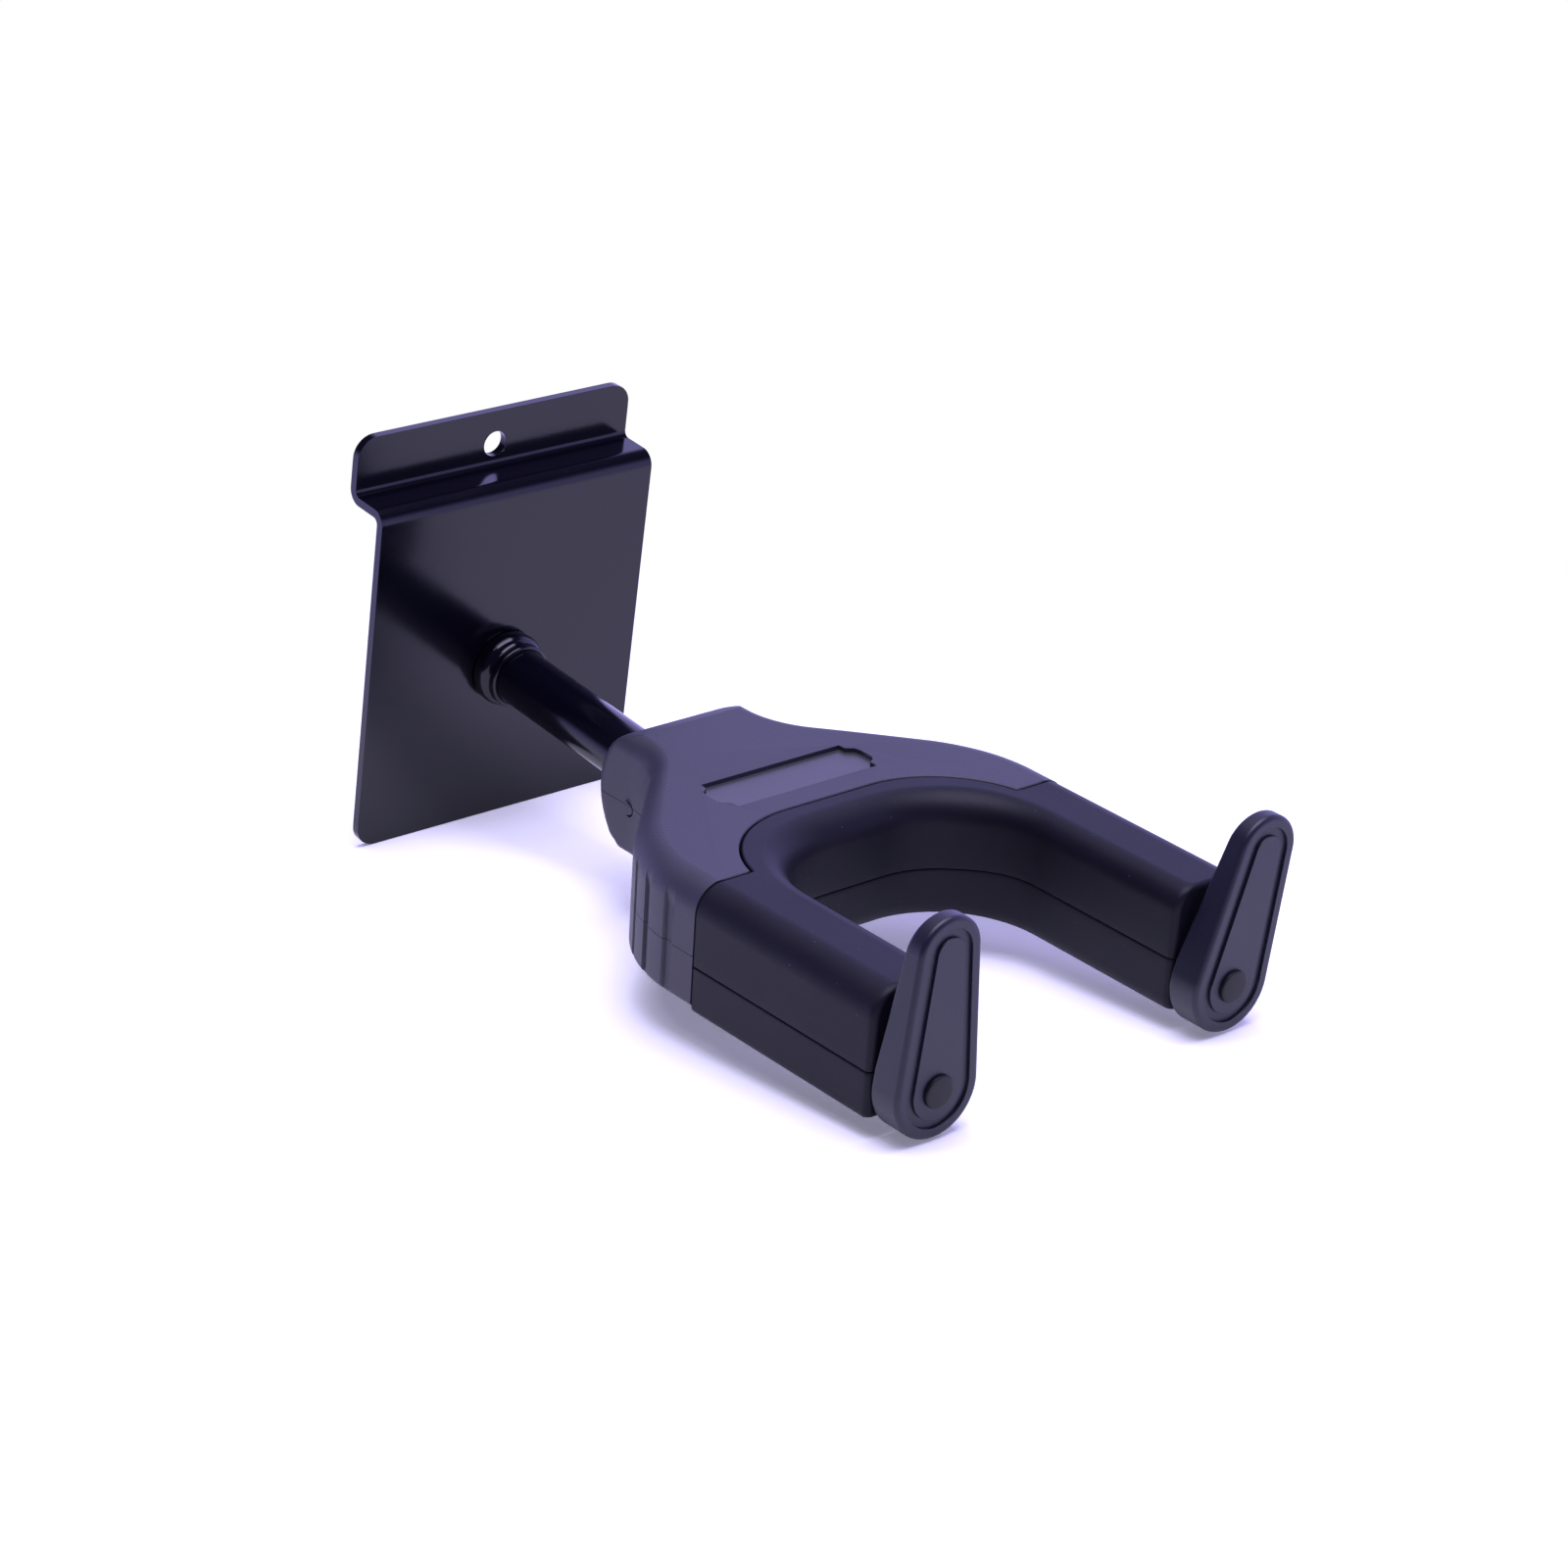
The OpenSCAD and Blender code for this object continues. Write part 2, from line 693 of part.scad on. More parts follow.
wall_plate();
support_rod();
rod_collar();
swivel_stop_pin();
thrust_washer();
rod_end_washer();
rod_end_screw();
head_upper_shell();
head_lower_shell();
badge_insert();
shell_screws();
rear_swivel_bush();
front_swivel_bush();
guide_pins();
left_crank_guide();
right_crank_guide();
left_return_spring();
right_return_spring();
cradle_frame();
upper_pad();
lower_pad();
cradle_screws();
left_front_bush();
right_front_bush();
left_rear_bush();
right_rear_bush();
left_gate();
left_gate_shaft();
left_crank();
left_gate_screw();
right_gate();
right_gate_shaft();
right_crank();
right_gate_screw();
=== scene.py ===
"""Looks of a wall guitar hanger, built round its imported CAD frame."""

import json
import logging
import math
from dataclasses import dataclass
from enum import Enum
from typing import Callable, Iterable, Optional, Sequence, Union

import bmesh
import bpy
from mathutils import Matrix, Vector

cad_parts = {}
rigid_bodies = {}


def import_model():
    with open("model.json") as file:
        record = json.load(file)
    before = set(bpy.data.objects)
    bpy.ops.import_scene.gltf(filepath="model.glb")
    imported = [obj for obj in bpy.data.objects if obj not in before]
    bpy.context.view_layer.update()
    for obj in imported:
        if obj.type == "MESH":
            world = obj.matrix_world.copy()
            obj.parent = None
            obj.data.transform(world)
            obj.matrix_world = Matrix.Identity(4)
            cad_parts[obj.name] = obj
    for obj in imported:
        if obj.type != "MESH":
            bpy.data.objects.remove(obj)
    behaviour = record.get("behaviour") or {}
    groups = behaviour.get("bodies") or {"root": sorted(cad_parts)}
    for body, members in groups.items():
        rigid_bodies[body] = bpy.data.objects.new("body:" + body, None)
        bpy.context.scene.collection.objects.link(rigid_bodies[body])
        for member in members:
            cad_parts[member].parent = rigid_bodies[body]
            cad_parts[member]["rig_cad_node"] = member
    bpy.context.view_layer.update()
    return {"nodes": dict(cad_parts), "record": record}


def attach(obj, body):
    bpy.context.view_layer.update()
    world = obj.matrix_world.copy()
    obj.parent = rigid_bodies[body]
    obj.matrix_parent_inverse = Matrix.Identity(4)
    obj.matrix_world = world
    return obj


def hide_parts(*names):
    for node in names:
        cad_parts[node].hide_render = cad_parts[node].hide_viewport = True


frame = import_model()

MM = 0.001
LOG = logging.getLogger("hanger")
Point2 = tuple[float, float]
Colour = tuple[float, float, float]


# --------------------------------------------------------------------------- shader building


class Val:
    """A shader socket that carries a number, with arithmetic that adds Math nodes."""

    def __init__(self, sheet: "Tree", socket: bpy.types.NodeSocket) -> None:
        """Wraps a socket.

        Args:
            sheet: The node tree being built.
            socket: The output socket to wrap.
        """
        self.sheet = sheet
        self.socket = socket

    def _math(self, operation: str, first: "Number", second: "Number") -> "Val":
        """Adds one Math node.

        Args:
            operation: The Math node's operation.
            first: Its first value.
            second: Its second value.

        Returns:
            The node's output.
        """
        return Val(self.sheet, self.sheet.node(
            "ShaderNodeMath", {"operation": operation}, {0: first, 1: second}))

    def __add__(self, other: "Number") -> "Val":
        """Returns self + other."""
        return self._math("ADD", self, other)

    __radd__ = __add__

    def __sub__(self, other: "Number") -> "Val":
        """Returns self - other."""
        return self._math("SUBTRACT", self, other)

    def __rsub__(self, other: "Number") -> "Val":
        """Returns other - self."""
        return self._math("SUBTRACT", other, self)

    def __mul__(self, other: "Number") -> "Val":
        """Returns self * other."""
        return self._math("MULTIPLY", self, other)

    __rmul__ = __mul__

    def above(self, edge: float, width: float) -> "Val":
        """Returns 0 below edge, 1 from edge + width up, straight between."""
        return Val(self.sheet, self.sheet.node(
            "ShaderNodeMapRange", {"clamp": True},
            {"Value": self, "From Min": edge, "From Max": edge + width}))


Number = Union[Val, float, int]


class Tree:
    """A node tree, with one method that adds any node."""

    def __init__(self, owner: Union[bpy.types.Material, bpy.types.World]) -> None:
        """Empties the owner's node tree.

        Args:
            owner: A material or a world.
        """
        owner.use_nodes = True
        self.tree = owner.node_tree
        self.tree.nodes.clear()

    def node(self, kind: str, settings: Optional[dict] = None, inputs: Optional[dict] = None,
             output: Union[int, str] = 0) -> bpy.types.NodeSocket:
        """Adds a node, sets it up and links it.

        Args:
            kind: The node's type.
            settings: Properties, set before the sockets.
            inputs: Socket name or index to a value, a Val or a socket.
            output: The output socket to return.

        Returns:
            That output socket.
        """
        made = self.tree.nodes.new(kind)
        for key, value in (settings or {}).items():
            setattr(made, key, value)
        for key, value in (inputs or {}).items():
            self.feed(made.inputs[key], value)
        return made.outputs[output]

    def feed(self, socket: bpy.types.NodeSocket, value: object) -> None:
        """Links or sets one input socket.

        Args:
            socket: The input.
            value: A Val, an output socket, a colour or a number.
        """
        if isinstance(value, Val):
            value = value.socket
        if isinstance(value, bpy.types.NodeSocket):
            self.tree.links.new(value, socket)
        elif isinstance(value, tuple) and len(value) == 3 and socket.type == "RGBA":
            socket.default_value = (*value, 1.0)
        else:
            socket.default_value = value

    def blend(self, low: object, high: object, amount: Number) -> bpy.types.NodeSocket:
        """Returns a colour between low and high."""
        return self.node("ShaderNodeMix", {"data_type": "RGBA"}, {0: amount, 6: low, 7: high}, 2)

    def close(self, kind: str, shader: bpy.types.NodeSocket) -> None:
        """Adds the output node and links the shader to it."""
        self.tree.links.new(shader, self.tree.nodes.new(kind).inputs["Surface"])


class Sheet(Tree):
    """One material's node tree, placed by the object's own coordinates."""

    def __init__(self, name: str) -> None:
        """Makes an empty material.

        Args:
            name: The material's name.
        """
        self.material = bpy.data.materials.new(name)
        super().__init__(self.material)
        self.place = self.node("ShaderNodeTexCoord", output="Object")

    def noise(self, size_mm: float, detail: float = 3.0, rough: float = 0.55, warp: float = 0.0) -> Val:
        """Returns a noise whose blobs are about size_mm across."""
        return Val(self, self.node("ShaderNodeTexNoise", {"noise_dimensions": "3D"}, {
            "Vector": self.place, "Scale": 1.0 / (size_mm * MM), "Detail": detail,
            "Roughness": rough, "Distortion": warp}, "Fac"))

    def grains(self, size_mm: float) -> Val:
        """Returns the distance to the nearest of a scatter of points size_mm apart."""
        return Val(self, self.node("ShaderNodeTexVoronoi", {"feature": "F1"}, {
            "Vector": self.place, "Scale": 1.0 / (size_mm * MM)}, "Distance"))

    def bump(self, height: Number, depth_mm: float, strength: float = 1.0) -> bpy.types.NodeSocket:
        """Returns a normal bent by a height."""
        return self.node("ShaderNodeBump", None, {
            "Height": height, "Distance": depth_mm * MM, "Strength": strength})

    def finish(self, **inputs: object) -> bpy.types.Material:
        """Adds the shader and closes the material.

        Args:
            **inputs: Principled sockets, with underscores for spaces.

        Returns:
            The material.
        """
        named = {key.replace("_", " "): value for key, value in inputs.items()}
        self.close("ShaderNodeOutputMaterial", self.node("ShaderNodeBsdfPrincipled", None, named, "BSDF"))
        return self.material


# --------------------------------------------------------------------------- finishes


@dataclass(frozen=True)
class Finish:
    """A surface finish. Each kind adds its own nodes in build()."""

    name: str
    slot: str
    colour: Colour
    roughness: float

    def shade(self, factor: float) -> Colour:
        """Returns the finish's colour times a factor."""
        return tuple(c * factor for c in self.colour)

    def build(self) -> bpy.types.Material:
        """Returns the finished material."""
        raise NotImplementedError


@dataclass(frozen=True)
class GlossCoat(Finish):
    """Gloss black powder coat: a faint orange peel and a few dull, pale specks."""

    peel_mm: float = 1.1
    peel_depth_mm: float = 0.0035

    def build(self) -> bpy.types.Material:
        """Returns the finished material."""
        sheet = Sheet(self.name)
        peel = sheet.noise(self.peel_mm, 1.5, 0.4)
        cloud = sheet.noise(22.0, 3.0)
        speck = sheet.noise(0.5, 2.0).above(0.74, 0.04) * cloud.above(0.45, 0.3)
        colour = sheet.blend(self.colour, (0.16, 0.16, 0.17), speck * 0.25)
        return sheet.finish(
            Base_Color=colour,
            Roughness=cloud * 0.10 + speck * 0.3 + (self.roughness - 0.05),
            Normal=sheet.bump(peel, self.peel_depth_mm), IOR=1.38)


@dataclass(frozen=True)
class SparkPlastic(Finish):
    """Moulded plastic with a fine spark-eroded grain."""

    grain_mm: float = 0.34
    depth_mm: float = 0.03
    mottling: float = 0.18
    specular: float = 0.5

    def build(self) -> bpy.types.Material:
        """Returns the finished material."""
        sheet = Sheet(self.name)
        grain = sheet.noise(self.grain_mm, 2.5, 0.6)
        pits = sheet.grains(self.grain_mm * 1.7)
        cloud = sheet.noise(14.0, 4.0, 0.6)
        tone = (grain - 0.5) * 0.9 + (cloud - 0.5) * self.mottling * 4 + 0.5
        return sheet.finish(
            Base_Color=sheet.blend(self.shade(0.72), self.shade(1.3), tone),
            Roughness=grain * 0.14 + cloud * 0.08 + (self.roughness - 0.11),
            Normal=sheet.bump(grain + pits * 0.6, self.depth_mm),
            Specular_IOR_Level=self.specular)


@dataclass(frozen=True)
class SoftRubber(Finish):
    """Smooth matte rubber with mould flow and a trace of pale lint."""

    grain_mm: float = 0.22
    depth_mm: float = 0.006

    def build(self) -> bpy.types.Material:
        """Returns the finished material."""
        sheet = Sheet(self.name)
        grain = sheet.noise(self.grain_mm, 2.0, 0.5)
        flow = sheet.noise(18.0, 4.0, 0.55, 0.8)
        lint = sheet.noise(0.7, 1.0, 0.3).above(0.8, 0.03)
        colour = sheet.blend(self.shade(0.85), self.shade(1.18), flow)
        return sheet.finish(
            Base_Color=sheet.blend(colour, (0.2, 0.2, 0.21), lint * 0.3),
            Roughness=flow * 0.12 + grain * 0.06 + (self.roughness - 0.09),
            Normal=sheet.bump(grain + flow * 2.0, self.depth_mm),
            Specular_IOR_Level=0.17)


@dataclass(frozen=True)
class PlainPlastic(Finish):
    """Smooth moulded or machined plastic with faint flow marks and scuffs."""

    specular: float = 0.5

    def build(self) -> bpy.types.Material:
        """Returns the finished material."""
        sheet = Sheet(self.name)
        flow = sheet.noise(9.0, 4.0, 0.6, 0.6)
        grain = sheet.noise(0.3, 2.0)
        scuff = sheet.noise(3.0, 5.0, 0.75, 2.0).above(0.62, 0.1)
        colour = sheet.blend(self.shade(0.86), self.shade(1.14), flow)
        return sheet.finish(
            Base_Color=colour,
            Roughness=scuff * 0.1 + grain * 0.08 + (self.roughness - 0.06),
            Normal=sheet.bump(grain + flow, 0.008), Specular_IOR_Level=self.specular)


@dataclass(frozen=True)
class Metal(Finish):
    """Bare or plated steel with fine drawing lines and soft stains."""

    line_mm: float = 0.08
    stretch: Colour = (1.0, 0.05, 1.0)

    def build(self) -> bpy.types.Material:
        """Returns the finished material."""
        sheet = Sheet(self.name)
        drawn = sheet.node("ShaderNodeVectorMath", {"operation": "MULTIPLY"},
                           {0: sheet.place, 1: self.stretch})
        lines = Val(sheet, sheet.node("ShaderNodeTexNoise", None, {
            "Vector": drawn, "Scale": 1.0 / (self.line_mm * MM), "Detail": 2.0}, "Fac"))
        stain = sheet.noise(4.0, 4.0, 0.65)
        return sheet.finish(
            Base_Color=sheet.blend(self.shade(0.7), self.colour, stain.above(0.3, 0.3)),
            Roughness=lines * 0.16 + stain * 0.12 + (self.roughness - 0.14),
            Normal=sheet.bump(lines, 0.004), Metallic=1.0)


@dataclass(frozen=True)
class PaleTable(Finish):
    """Pale smooth table top that glows a little and fades out round a centre."""

    centre: tuple[float, float, float] = (0.0, 0.0, 0.0)
    fade_from: float = 0.17
    fade_to: float = 0.34
    glow: float = 0.22

    def build(self) -> bpy.types.Material:
        """Returns the finished material."""
        sheet = Sheet(self.name)
        fibre = sheet.noise(0.9, 3.0)
        spot = sheet.node("ShaderNodeVectorMath", {"operation": "DISTANCE"},
                          {0: sheet.place, 1: self.centre}, "Value")
        away = Val(sheet, spot).above(self.fade_from, self.fade_to - self.fade_from)
        return sheet.finish(
            Base_Color=sheet.blend(self.shade(0.97), self.colour, fibre),
            Roughness=fibre * 0.05 + self.roughness, Alpha=1 - away,
            Emission_Color=(0.84, 0.82, 1.0), Emission_Strength=self.glow)


FINISHES: tuple[Finish, ...] = (
    GlossCoat("gloss_black_coat", "gloss_black_steel", (0.0018, 0.0016, 0.0044), 0.15),
    SparkPlastic("textured_nylon", "textured_plastic", (0.0215, 0.0205, 0.0330), 0.54),
    SparkPlastic("badge_face", "badge_plastic", (0.03, 0.03, 0.032), 0.36, 0.2, 0.01, 0.08),
    SoftRubber("matte_rubber", "soft_rubber", (0.0052, 0.0046, 0.0092), 0.5),
    SparkPlastic("gate_satin", "gate_plastic", (0.0065, 0.0065, 0.0160), 0.42, 0.2, 0.008, 0.1, 0.4),
    PlainPlastic("black_acetal", "black_bush_plastic", (0.006, 0.006, 0.007), 0.4),
    PlainPlastic("natural_acetal", "bearing_plastic", (0.7, 0.68, 0.6), 0.42),
    PlainPlastic("glass_nylon", "frame_plastic", (0.03, 0.03, 0.032), 0.6),
    Metal("plated_steel", "bright_steel", (0.62, 0.62, 0.65), 0.3),
    Metal("spring_wire", "spring_steel", (0.5, 0.5, 0.53), 0.28, 0.05, (1.0, 1.0, 1.0)),
    PlainPlastic("blackened_screw", "dark_screw", (0.006, 0.006, 0.0062), 0.5, 0.26),
)


class Dresser:
    """Builds each finish once and hands it out by the record's slot."""

    def __init__(self, finishes: Iterable[Finish]) -> None:
        """Builds the materials.

        Args:
            finishes: The finishes, one for each slot.
        """
        self.by_slot = {finish.slot: finish.build() for finish in finishes}

    def dress(self, piece: bpy.types.Object, slot: str) -> None:
        """Gives a piece the material of a slot.

        Args:
            piece: A mesh object.
            slot: The record's material slot.
        """
        piece.data.materials.clear()
        piece.data.materials.append(self.by_slot[slot])

    def dress_cad(self) -> None:
        """Gives every CAD node the material of its slot and softens its edges."""
        for part in frame["record"]["subparts"]:
            node = frame["nodes"][part["node"]]
            self.dress(node, part["material_slot"])
            soften(node, 0.12)


# --------------------------------------------------------------------------- mesh building


def arc(centre: Point2, radius: float, start: float, end: float, steps: int) -> list[Point2]:
    """Points along a circle's arc.

    Args:
        centre: The circle's centre.
        radius: Its radius.
        start: First angle, in degrees.
        end: Last angle, in degrees.
        steps: Number of steps.

    Returns:
        steps + 1 points.
    """
    angles = (math.radians(start + (end - start) * i / steps) for i in range(steps + 1))
    return [(centre[0] + radius * math.cos(a), centre[1] + radius * math.sin(a)) for a in angles]


def straight(start: Point2, end: Point2, steps: int) -> list[Point2]:
    """Evenly spaced points from start to end, both included."""
    return [(start[0] + (end[0] - start[0]) * i / steps, start[1] + (end[1] - start[1]) * i / steps)
            for i in range(steps + 1)]


def smooth(value: float) -> float:
    """Eases a value between 0 and 1."""
    v = min(max(value, 0.0), 1.0)
    return v * v * (3 - 2 * v)


def soften(piece: bpy.types.Object, width_mm: float, angle: float = 32.0) -> None:
    """Shades a piece smooth, with a small round on its sharp edges.

    Args:
        piece: The piece.
        width_mm: The round's width.
        angle: Edges that turn by more than this get the round, in degrees.
    """
    if width_mm:
        bevel = piece.modifiers.new("edge_round", "BEVEL")
        bevel.width = width_mm * MM
        bevel.segments = 2
        bevel.limit_method = "ANGLE"
        bevel.angle_limit = math.radians(angle)
        bevel.use_clamp_overlap = True
        bevel.harden_normals = False
    for polygon in piece.data.polygons:
        polygon.use_smooth = True
    weighted = piece.modifiers.new("face_normals", "WEIGHTED_NORMAL")
    weighted.keep_sharp = True
    weighted.weight = 80


def to_object(name: str, mesh: bmesh.types.BMesh, sharp: float = 40.0) -> bpy.types.Object:
    """Turns a bmesh into a shown object, with edges over an angle marked sharp.

    Args:
        name: The object's name.
        mesh: The bmesh, which is freed.
        sharp: The angle, in degrees.

    Returns:
        The object.
    """
    bmesh.ops.remove_doubles(mesh, verts=mesh.verts, dist=0.002 * MM)
    bmesh.ops.recalc_face_normals(mesh, faces=mesh.faces)
    for face in mesh.faces:
        face.smooth = True
    for edge in mesh.edges:
        edge.smooth = len(edge.link_faces) == 2 and edge.calc_face_angle(0.0) < math.radians(sharp)
    data = bpy.data.meshes.new(name)
    mesh.to_mesh(data)
    mesh.free()
    piece = bpy.data.objects.new(name, data)
    bpy.context.scene.collection.objects.link(piece)
    return piece


def loft(rings: Sequence[Sequence[Vector]], close_ends: bool = True) -> bmesh.types.BMesh:
    """Joins closed rings of equal length with quads.

    Args:
        rings: The rings, in order.
        close_ends: Whether the first and last ring get a face.

    Returns:
        The bmesh.
    """
    mesh = bmesh.new()
    rows = [[mesh.verts.new(p) for p in ring] for ring in rings]
    count = len(rows[0])
    for low, high in zip(rows, rows[1:]):
        for i in range(count):
            j = (i + 1) % count
            mesh.faces.new((low[i], low[j], high[j], high[i]))
    if close_ends:
        mesh.faces.new(list(reversed(rows[0])))
        mesh.faces.new(rows[-1])
    return mesh


def cut(piece: bpy.types.Object, cutters: Sequence[bpy.types.Object]) -> None:
    """Cuts other objects out of a piece and removes them.

    Args:
        piece: The piece to cut.
        cutters: The objects that are cut out.
    """
    for cutter in cutters:
        step = piece.modifiers.new("cut", "BOOLEAN")
        step.operation = "DIFFERENCE"
        step.solver = "EXACT"
        step.object = cutter
    bpy.context.view_layer.update()
    graph = bpy.context.evaluated_depsgraph_get()
    result = bpy.data.meshes.new_from_object(piece.evaluated_get(graph))
    piece.modifiers.clear()
    old = piece.data
    piece.data = result
    bpy.data.meshes.remove(old)
    for cutter in cutters:
        bpy.data.objects.remove(cutter)


@dataclass(frozen=True)
class Yoke:
    """The head's tilted frame: x across, reach out from the plate, height square to the top face."""

    tilt: float = 5.24
    plate_t: float = 2.0

    def at(self, x: float, reach: float, height: float) -> Vector:
        """Returns a point, given in millimetres, in the row frame in metres."""
        c, s = math.cos(math.radians(self.tilt)), math.sin(math.radians(self.tilt))
        return Vector((x, -self.plate_t - c * reach + s * height, s * reach + c * height)) * MM

    def ring(self, points: Iterable[Point2], height: float) -> list[Vector]:
        """Returns [x, reach] points at one height."""
        return [self.at(x, reach, height) for x, reach in points]


YOKE = Yoke()


def on_axis(x: float, z: float, out: float) -> Vector:
    """Maps across, up and out from the plate's front, in millimetres, to the row frame."""
    return Vector((x, -YOKE.plate_t - out, z)) * MM


@dataclass
class Edge:
    """A point of an outline with the way its rounded edge turns in."""

    x: float
    reach: float
    inward: Point2
    top_round: float
    bottom_round: float
    groove: float = 0.0


def rounded(radius: float, turn: float) -> Point2:
    """How far a rounded edge has turned in, and its depth below the face, at an angle round it."""
    a = math.radians(turn)
    return radius * (1 - math.cos(a)), radius * (1 - math.sin(a))


def lathe(name: str, profile: Sequence[Point2], place: Callable[[float, float, float], Vector],
          steps: int = 64) -> bpy.types.Object:
    """Turns a profile of (radius, along) points round an axis.

    Args:
        name: The object's name.
        profile: The points, from one end to the other.
        place: Maps across, up and along, in millimetres, to the row frame.
        steps: Number of sides.

    Returns:
        The object.
    """
    turns = [2 * math.pi * i / steps for i in range(steps)]
    return to_object(name, loft([[place(radius * math.cos(a), radius * math.sin(a), along) for a in turns]
                                 for radius, along in profile]))


def block(name: str, x: Sequence[float], reach: Point2, height: Point2) -> bpy.types.Object:
    """Makes a block in the yoke frame from its low and high x, reach and height."""
    ring = [(x[0], reach[0]), (x[1], reach[0]), (x[1], reach[1]), (x[0], reach[1])]
    return to_object(name, loft([YOKE.ring(ring, height[0]), YOKE.ring(ring, height[1])]))


def add(piece: bpy.types.Object, body: str, slot: str, dresser: Dresser, replaced: Sequence[str]) -> None:
    """Dresses a piece, fixes it to its body and reports it.

    Args:
        piece: The piece.
        body: The CAD body that it moves with.
        slot: The record's material slot.
        dresser: Gives the material.
        replaced: The CAD nodes that it stands for.
    """
    dresser.dress(piece, slot)
    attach(piece, body)
    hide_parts(*replaced)
    LOG.info("%s: %d faces, on %s, finish %s", piece.name, len(piece.data.polygons), body, slot)


# --------------------------------------------------------------------------- wall bracket


@dataclass
class WallBracket:
    """Hooked plate, rod and collar, in millimetres."""

    width: float = 75.0
    thickness: float = 2.0
    below: float = 38.4
    above: float = 42.3
    step: float = 10.7
    tab_top: float = 59.2
    hole_up: float = 51.1
    hole_d: float = 6.0
    corner: float = 5.0
    bend: float = 3.5
    rod_r: float = 6.58
    rod_len: float = 71.0
    tail_r: float = 5.0
    spigot_r: float = 4.5
    spigot_end: float = 87.1
    collar_r: float = 8.8
    bend_steps: int = 14

    def path(self) -> list[tuple[Point2, Point2]]:
        """Mid-surface of the sheet from its foot to its top.

        Returns:
            Pairs of a [y, z] point and the front face's [y, z] direction there.
        """
        mid = self.thickness / 2
        r = self.bend - mid
        ledge = self.step - self.thickness
        low = (self.bend - self.thickness, self.above)
        high = (ledge - self.bend + self.thickness, self.above + 2 * self.bend - self.thickness)
        points = [(p, (-1.0, 0.0)) for p in straight((-mid, -self.below), (-mid, self.above), 40)]
        for angle in range(1, self.bend_steps + 1):
            a = math.radians(180 - 90 * angle / self.bend_steps)
            points.append(((low[0] + r * math.cos(a), low[1] + r * math.sin(a)), (math.cos(a), math.sin(a))))
        points += [(p, (0.0, 1.0))
                   for p in straight((low[0] + 0.3, low[1] + r), (high[0] - 0.3, high[1] - r), 4)]
        for angle in range(1, self.bend_steps + 1):
            a = math.radians(270 + 90 * angle / self.bend_steps)
            points.append(((high[0] + r * math.cos(a), high[1] + r * math.sin(a)),
                           (-math.cos(a), -math.sin(a))))
        top = (ledge + mid, self.tab_top)
        return points + [(p, (-1.0, 0.0)) for p in straight((ledge + mid, high[1] + 0.4), top, 12)]

    def half_width(self, from_end: float) -> float:
        """Half the sheet's width at a distance from its foot or top, along the sheet."""
        if from_end >= self.corner:
            return self.width / 2
        left = self.corner - from_end
        return self.width / 2 - self.corner + math.sqrt(max(self.corner ** 2 - left ** 2, 0.0))

    def plate(self) -> bpy.types.Object:
        """Makes the bent sheet with round corners and its hole."""
        path = self.path()
        lengths = [0.0]
        for (a, _), (b, _) in zip(path, path[1:]):
            lengths.append(lengths[-1] + math.dist(a, b))
        rows = [(point, front, min(along, lengths[-1] - along))
                for (point, front), along in zip(path, lengths)]
        # extra rows close to both ends keep the corners round
        fine = [self.corner * (1 - math.cos(math.radians(a))) for a in range(0, 90, 9)]
        foot = [((path[0][0][0], path[0][0][1] + d), path[0][1], d) for d in fine]
        head = [((path[-1][0][0], path[-1][0][1] - d), path[-1][1], d) for d in reversed(fine)]
        rows = foot + [row for row in rows if row[2] > self.corner] + head
        mesh = bmesh.new()
        columns = 24
        sides = []
        for sign in (1.0, -1.0):
            sheet = []
            for (y, z), (ny, nz), from_end in rows:
                half = self.half_width(from_end)
                off = sign * self.thickness / 2
                across = (half * (2 * k / columns - 1) for k in range(columns + 1))
                sheet.append([mesh.verts.new(Vector((x, y + ny * off, z + nz * off)) * MM) for x in across])
            sides.append(sheet)
            for low, high in zip(sheet, sheet[1:]):
                for k in range(columns):
                    mesh.faces.new((low[k], low[k + 1], high[k + 1], high[k]))
        front, back = sides
        rim = [(r, 0) for r in range(len(rows))] + [(len(rows) - 1, k) for k in range(1, columns + 1)]
        rim += [(r, columns) for r in range(len(rows) - 2, -1, -1)]
        rim += [(0, k) for k in range(columns - 1, 0, -1)]
        for (r0, k0), (r1, k1) in zip(rim, rim[1:] + rim[:1]):
            mesh.faces.new((front[r0][k0], front[r1][k1], back[r1][k1], back[r0][k0]))
        piece = to_object("plate_sheet", mesh, 50.0)
        hole = lathe("hole_tool", [(self.hole_d / 2, -5.0), (self.hole_d / 2, 5.0)],
                     lambda x, z, y: Vector((x, y + self.step, z + self.hole_up)) * MM)
        cut(piece, [hole])
        soften(piece, 0.35)
        return piece

    def rod(self) -> bpy.types.Object:
        """Makes the rod with its tail, shoulder and spigot."""
        tail, rod, spigot, edge = self.tail_r, self.rod_r, self.spigot_r, 0.4
        profile = [(tail, -self.thickness), (tail, 0.0), (rod, 0.0), (rod, 20.0), (rod, 50.0),
                   (rod, self.rod_len - edge), (rod - edge, self.rod_len), (spigot, self.rod_len),
                   (spigot, self.spigot_end - edge), (spigot - edge, self.spigot_end)]
        piece = lathe("rod_bar", profile, on_axis, 96)
        soften(piece, 0.0)
        return piece

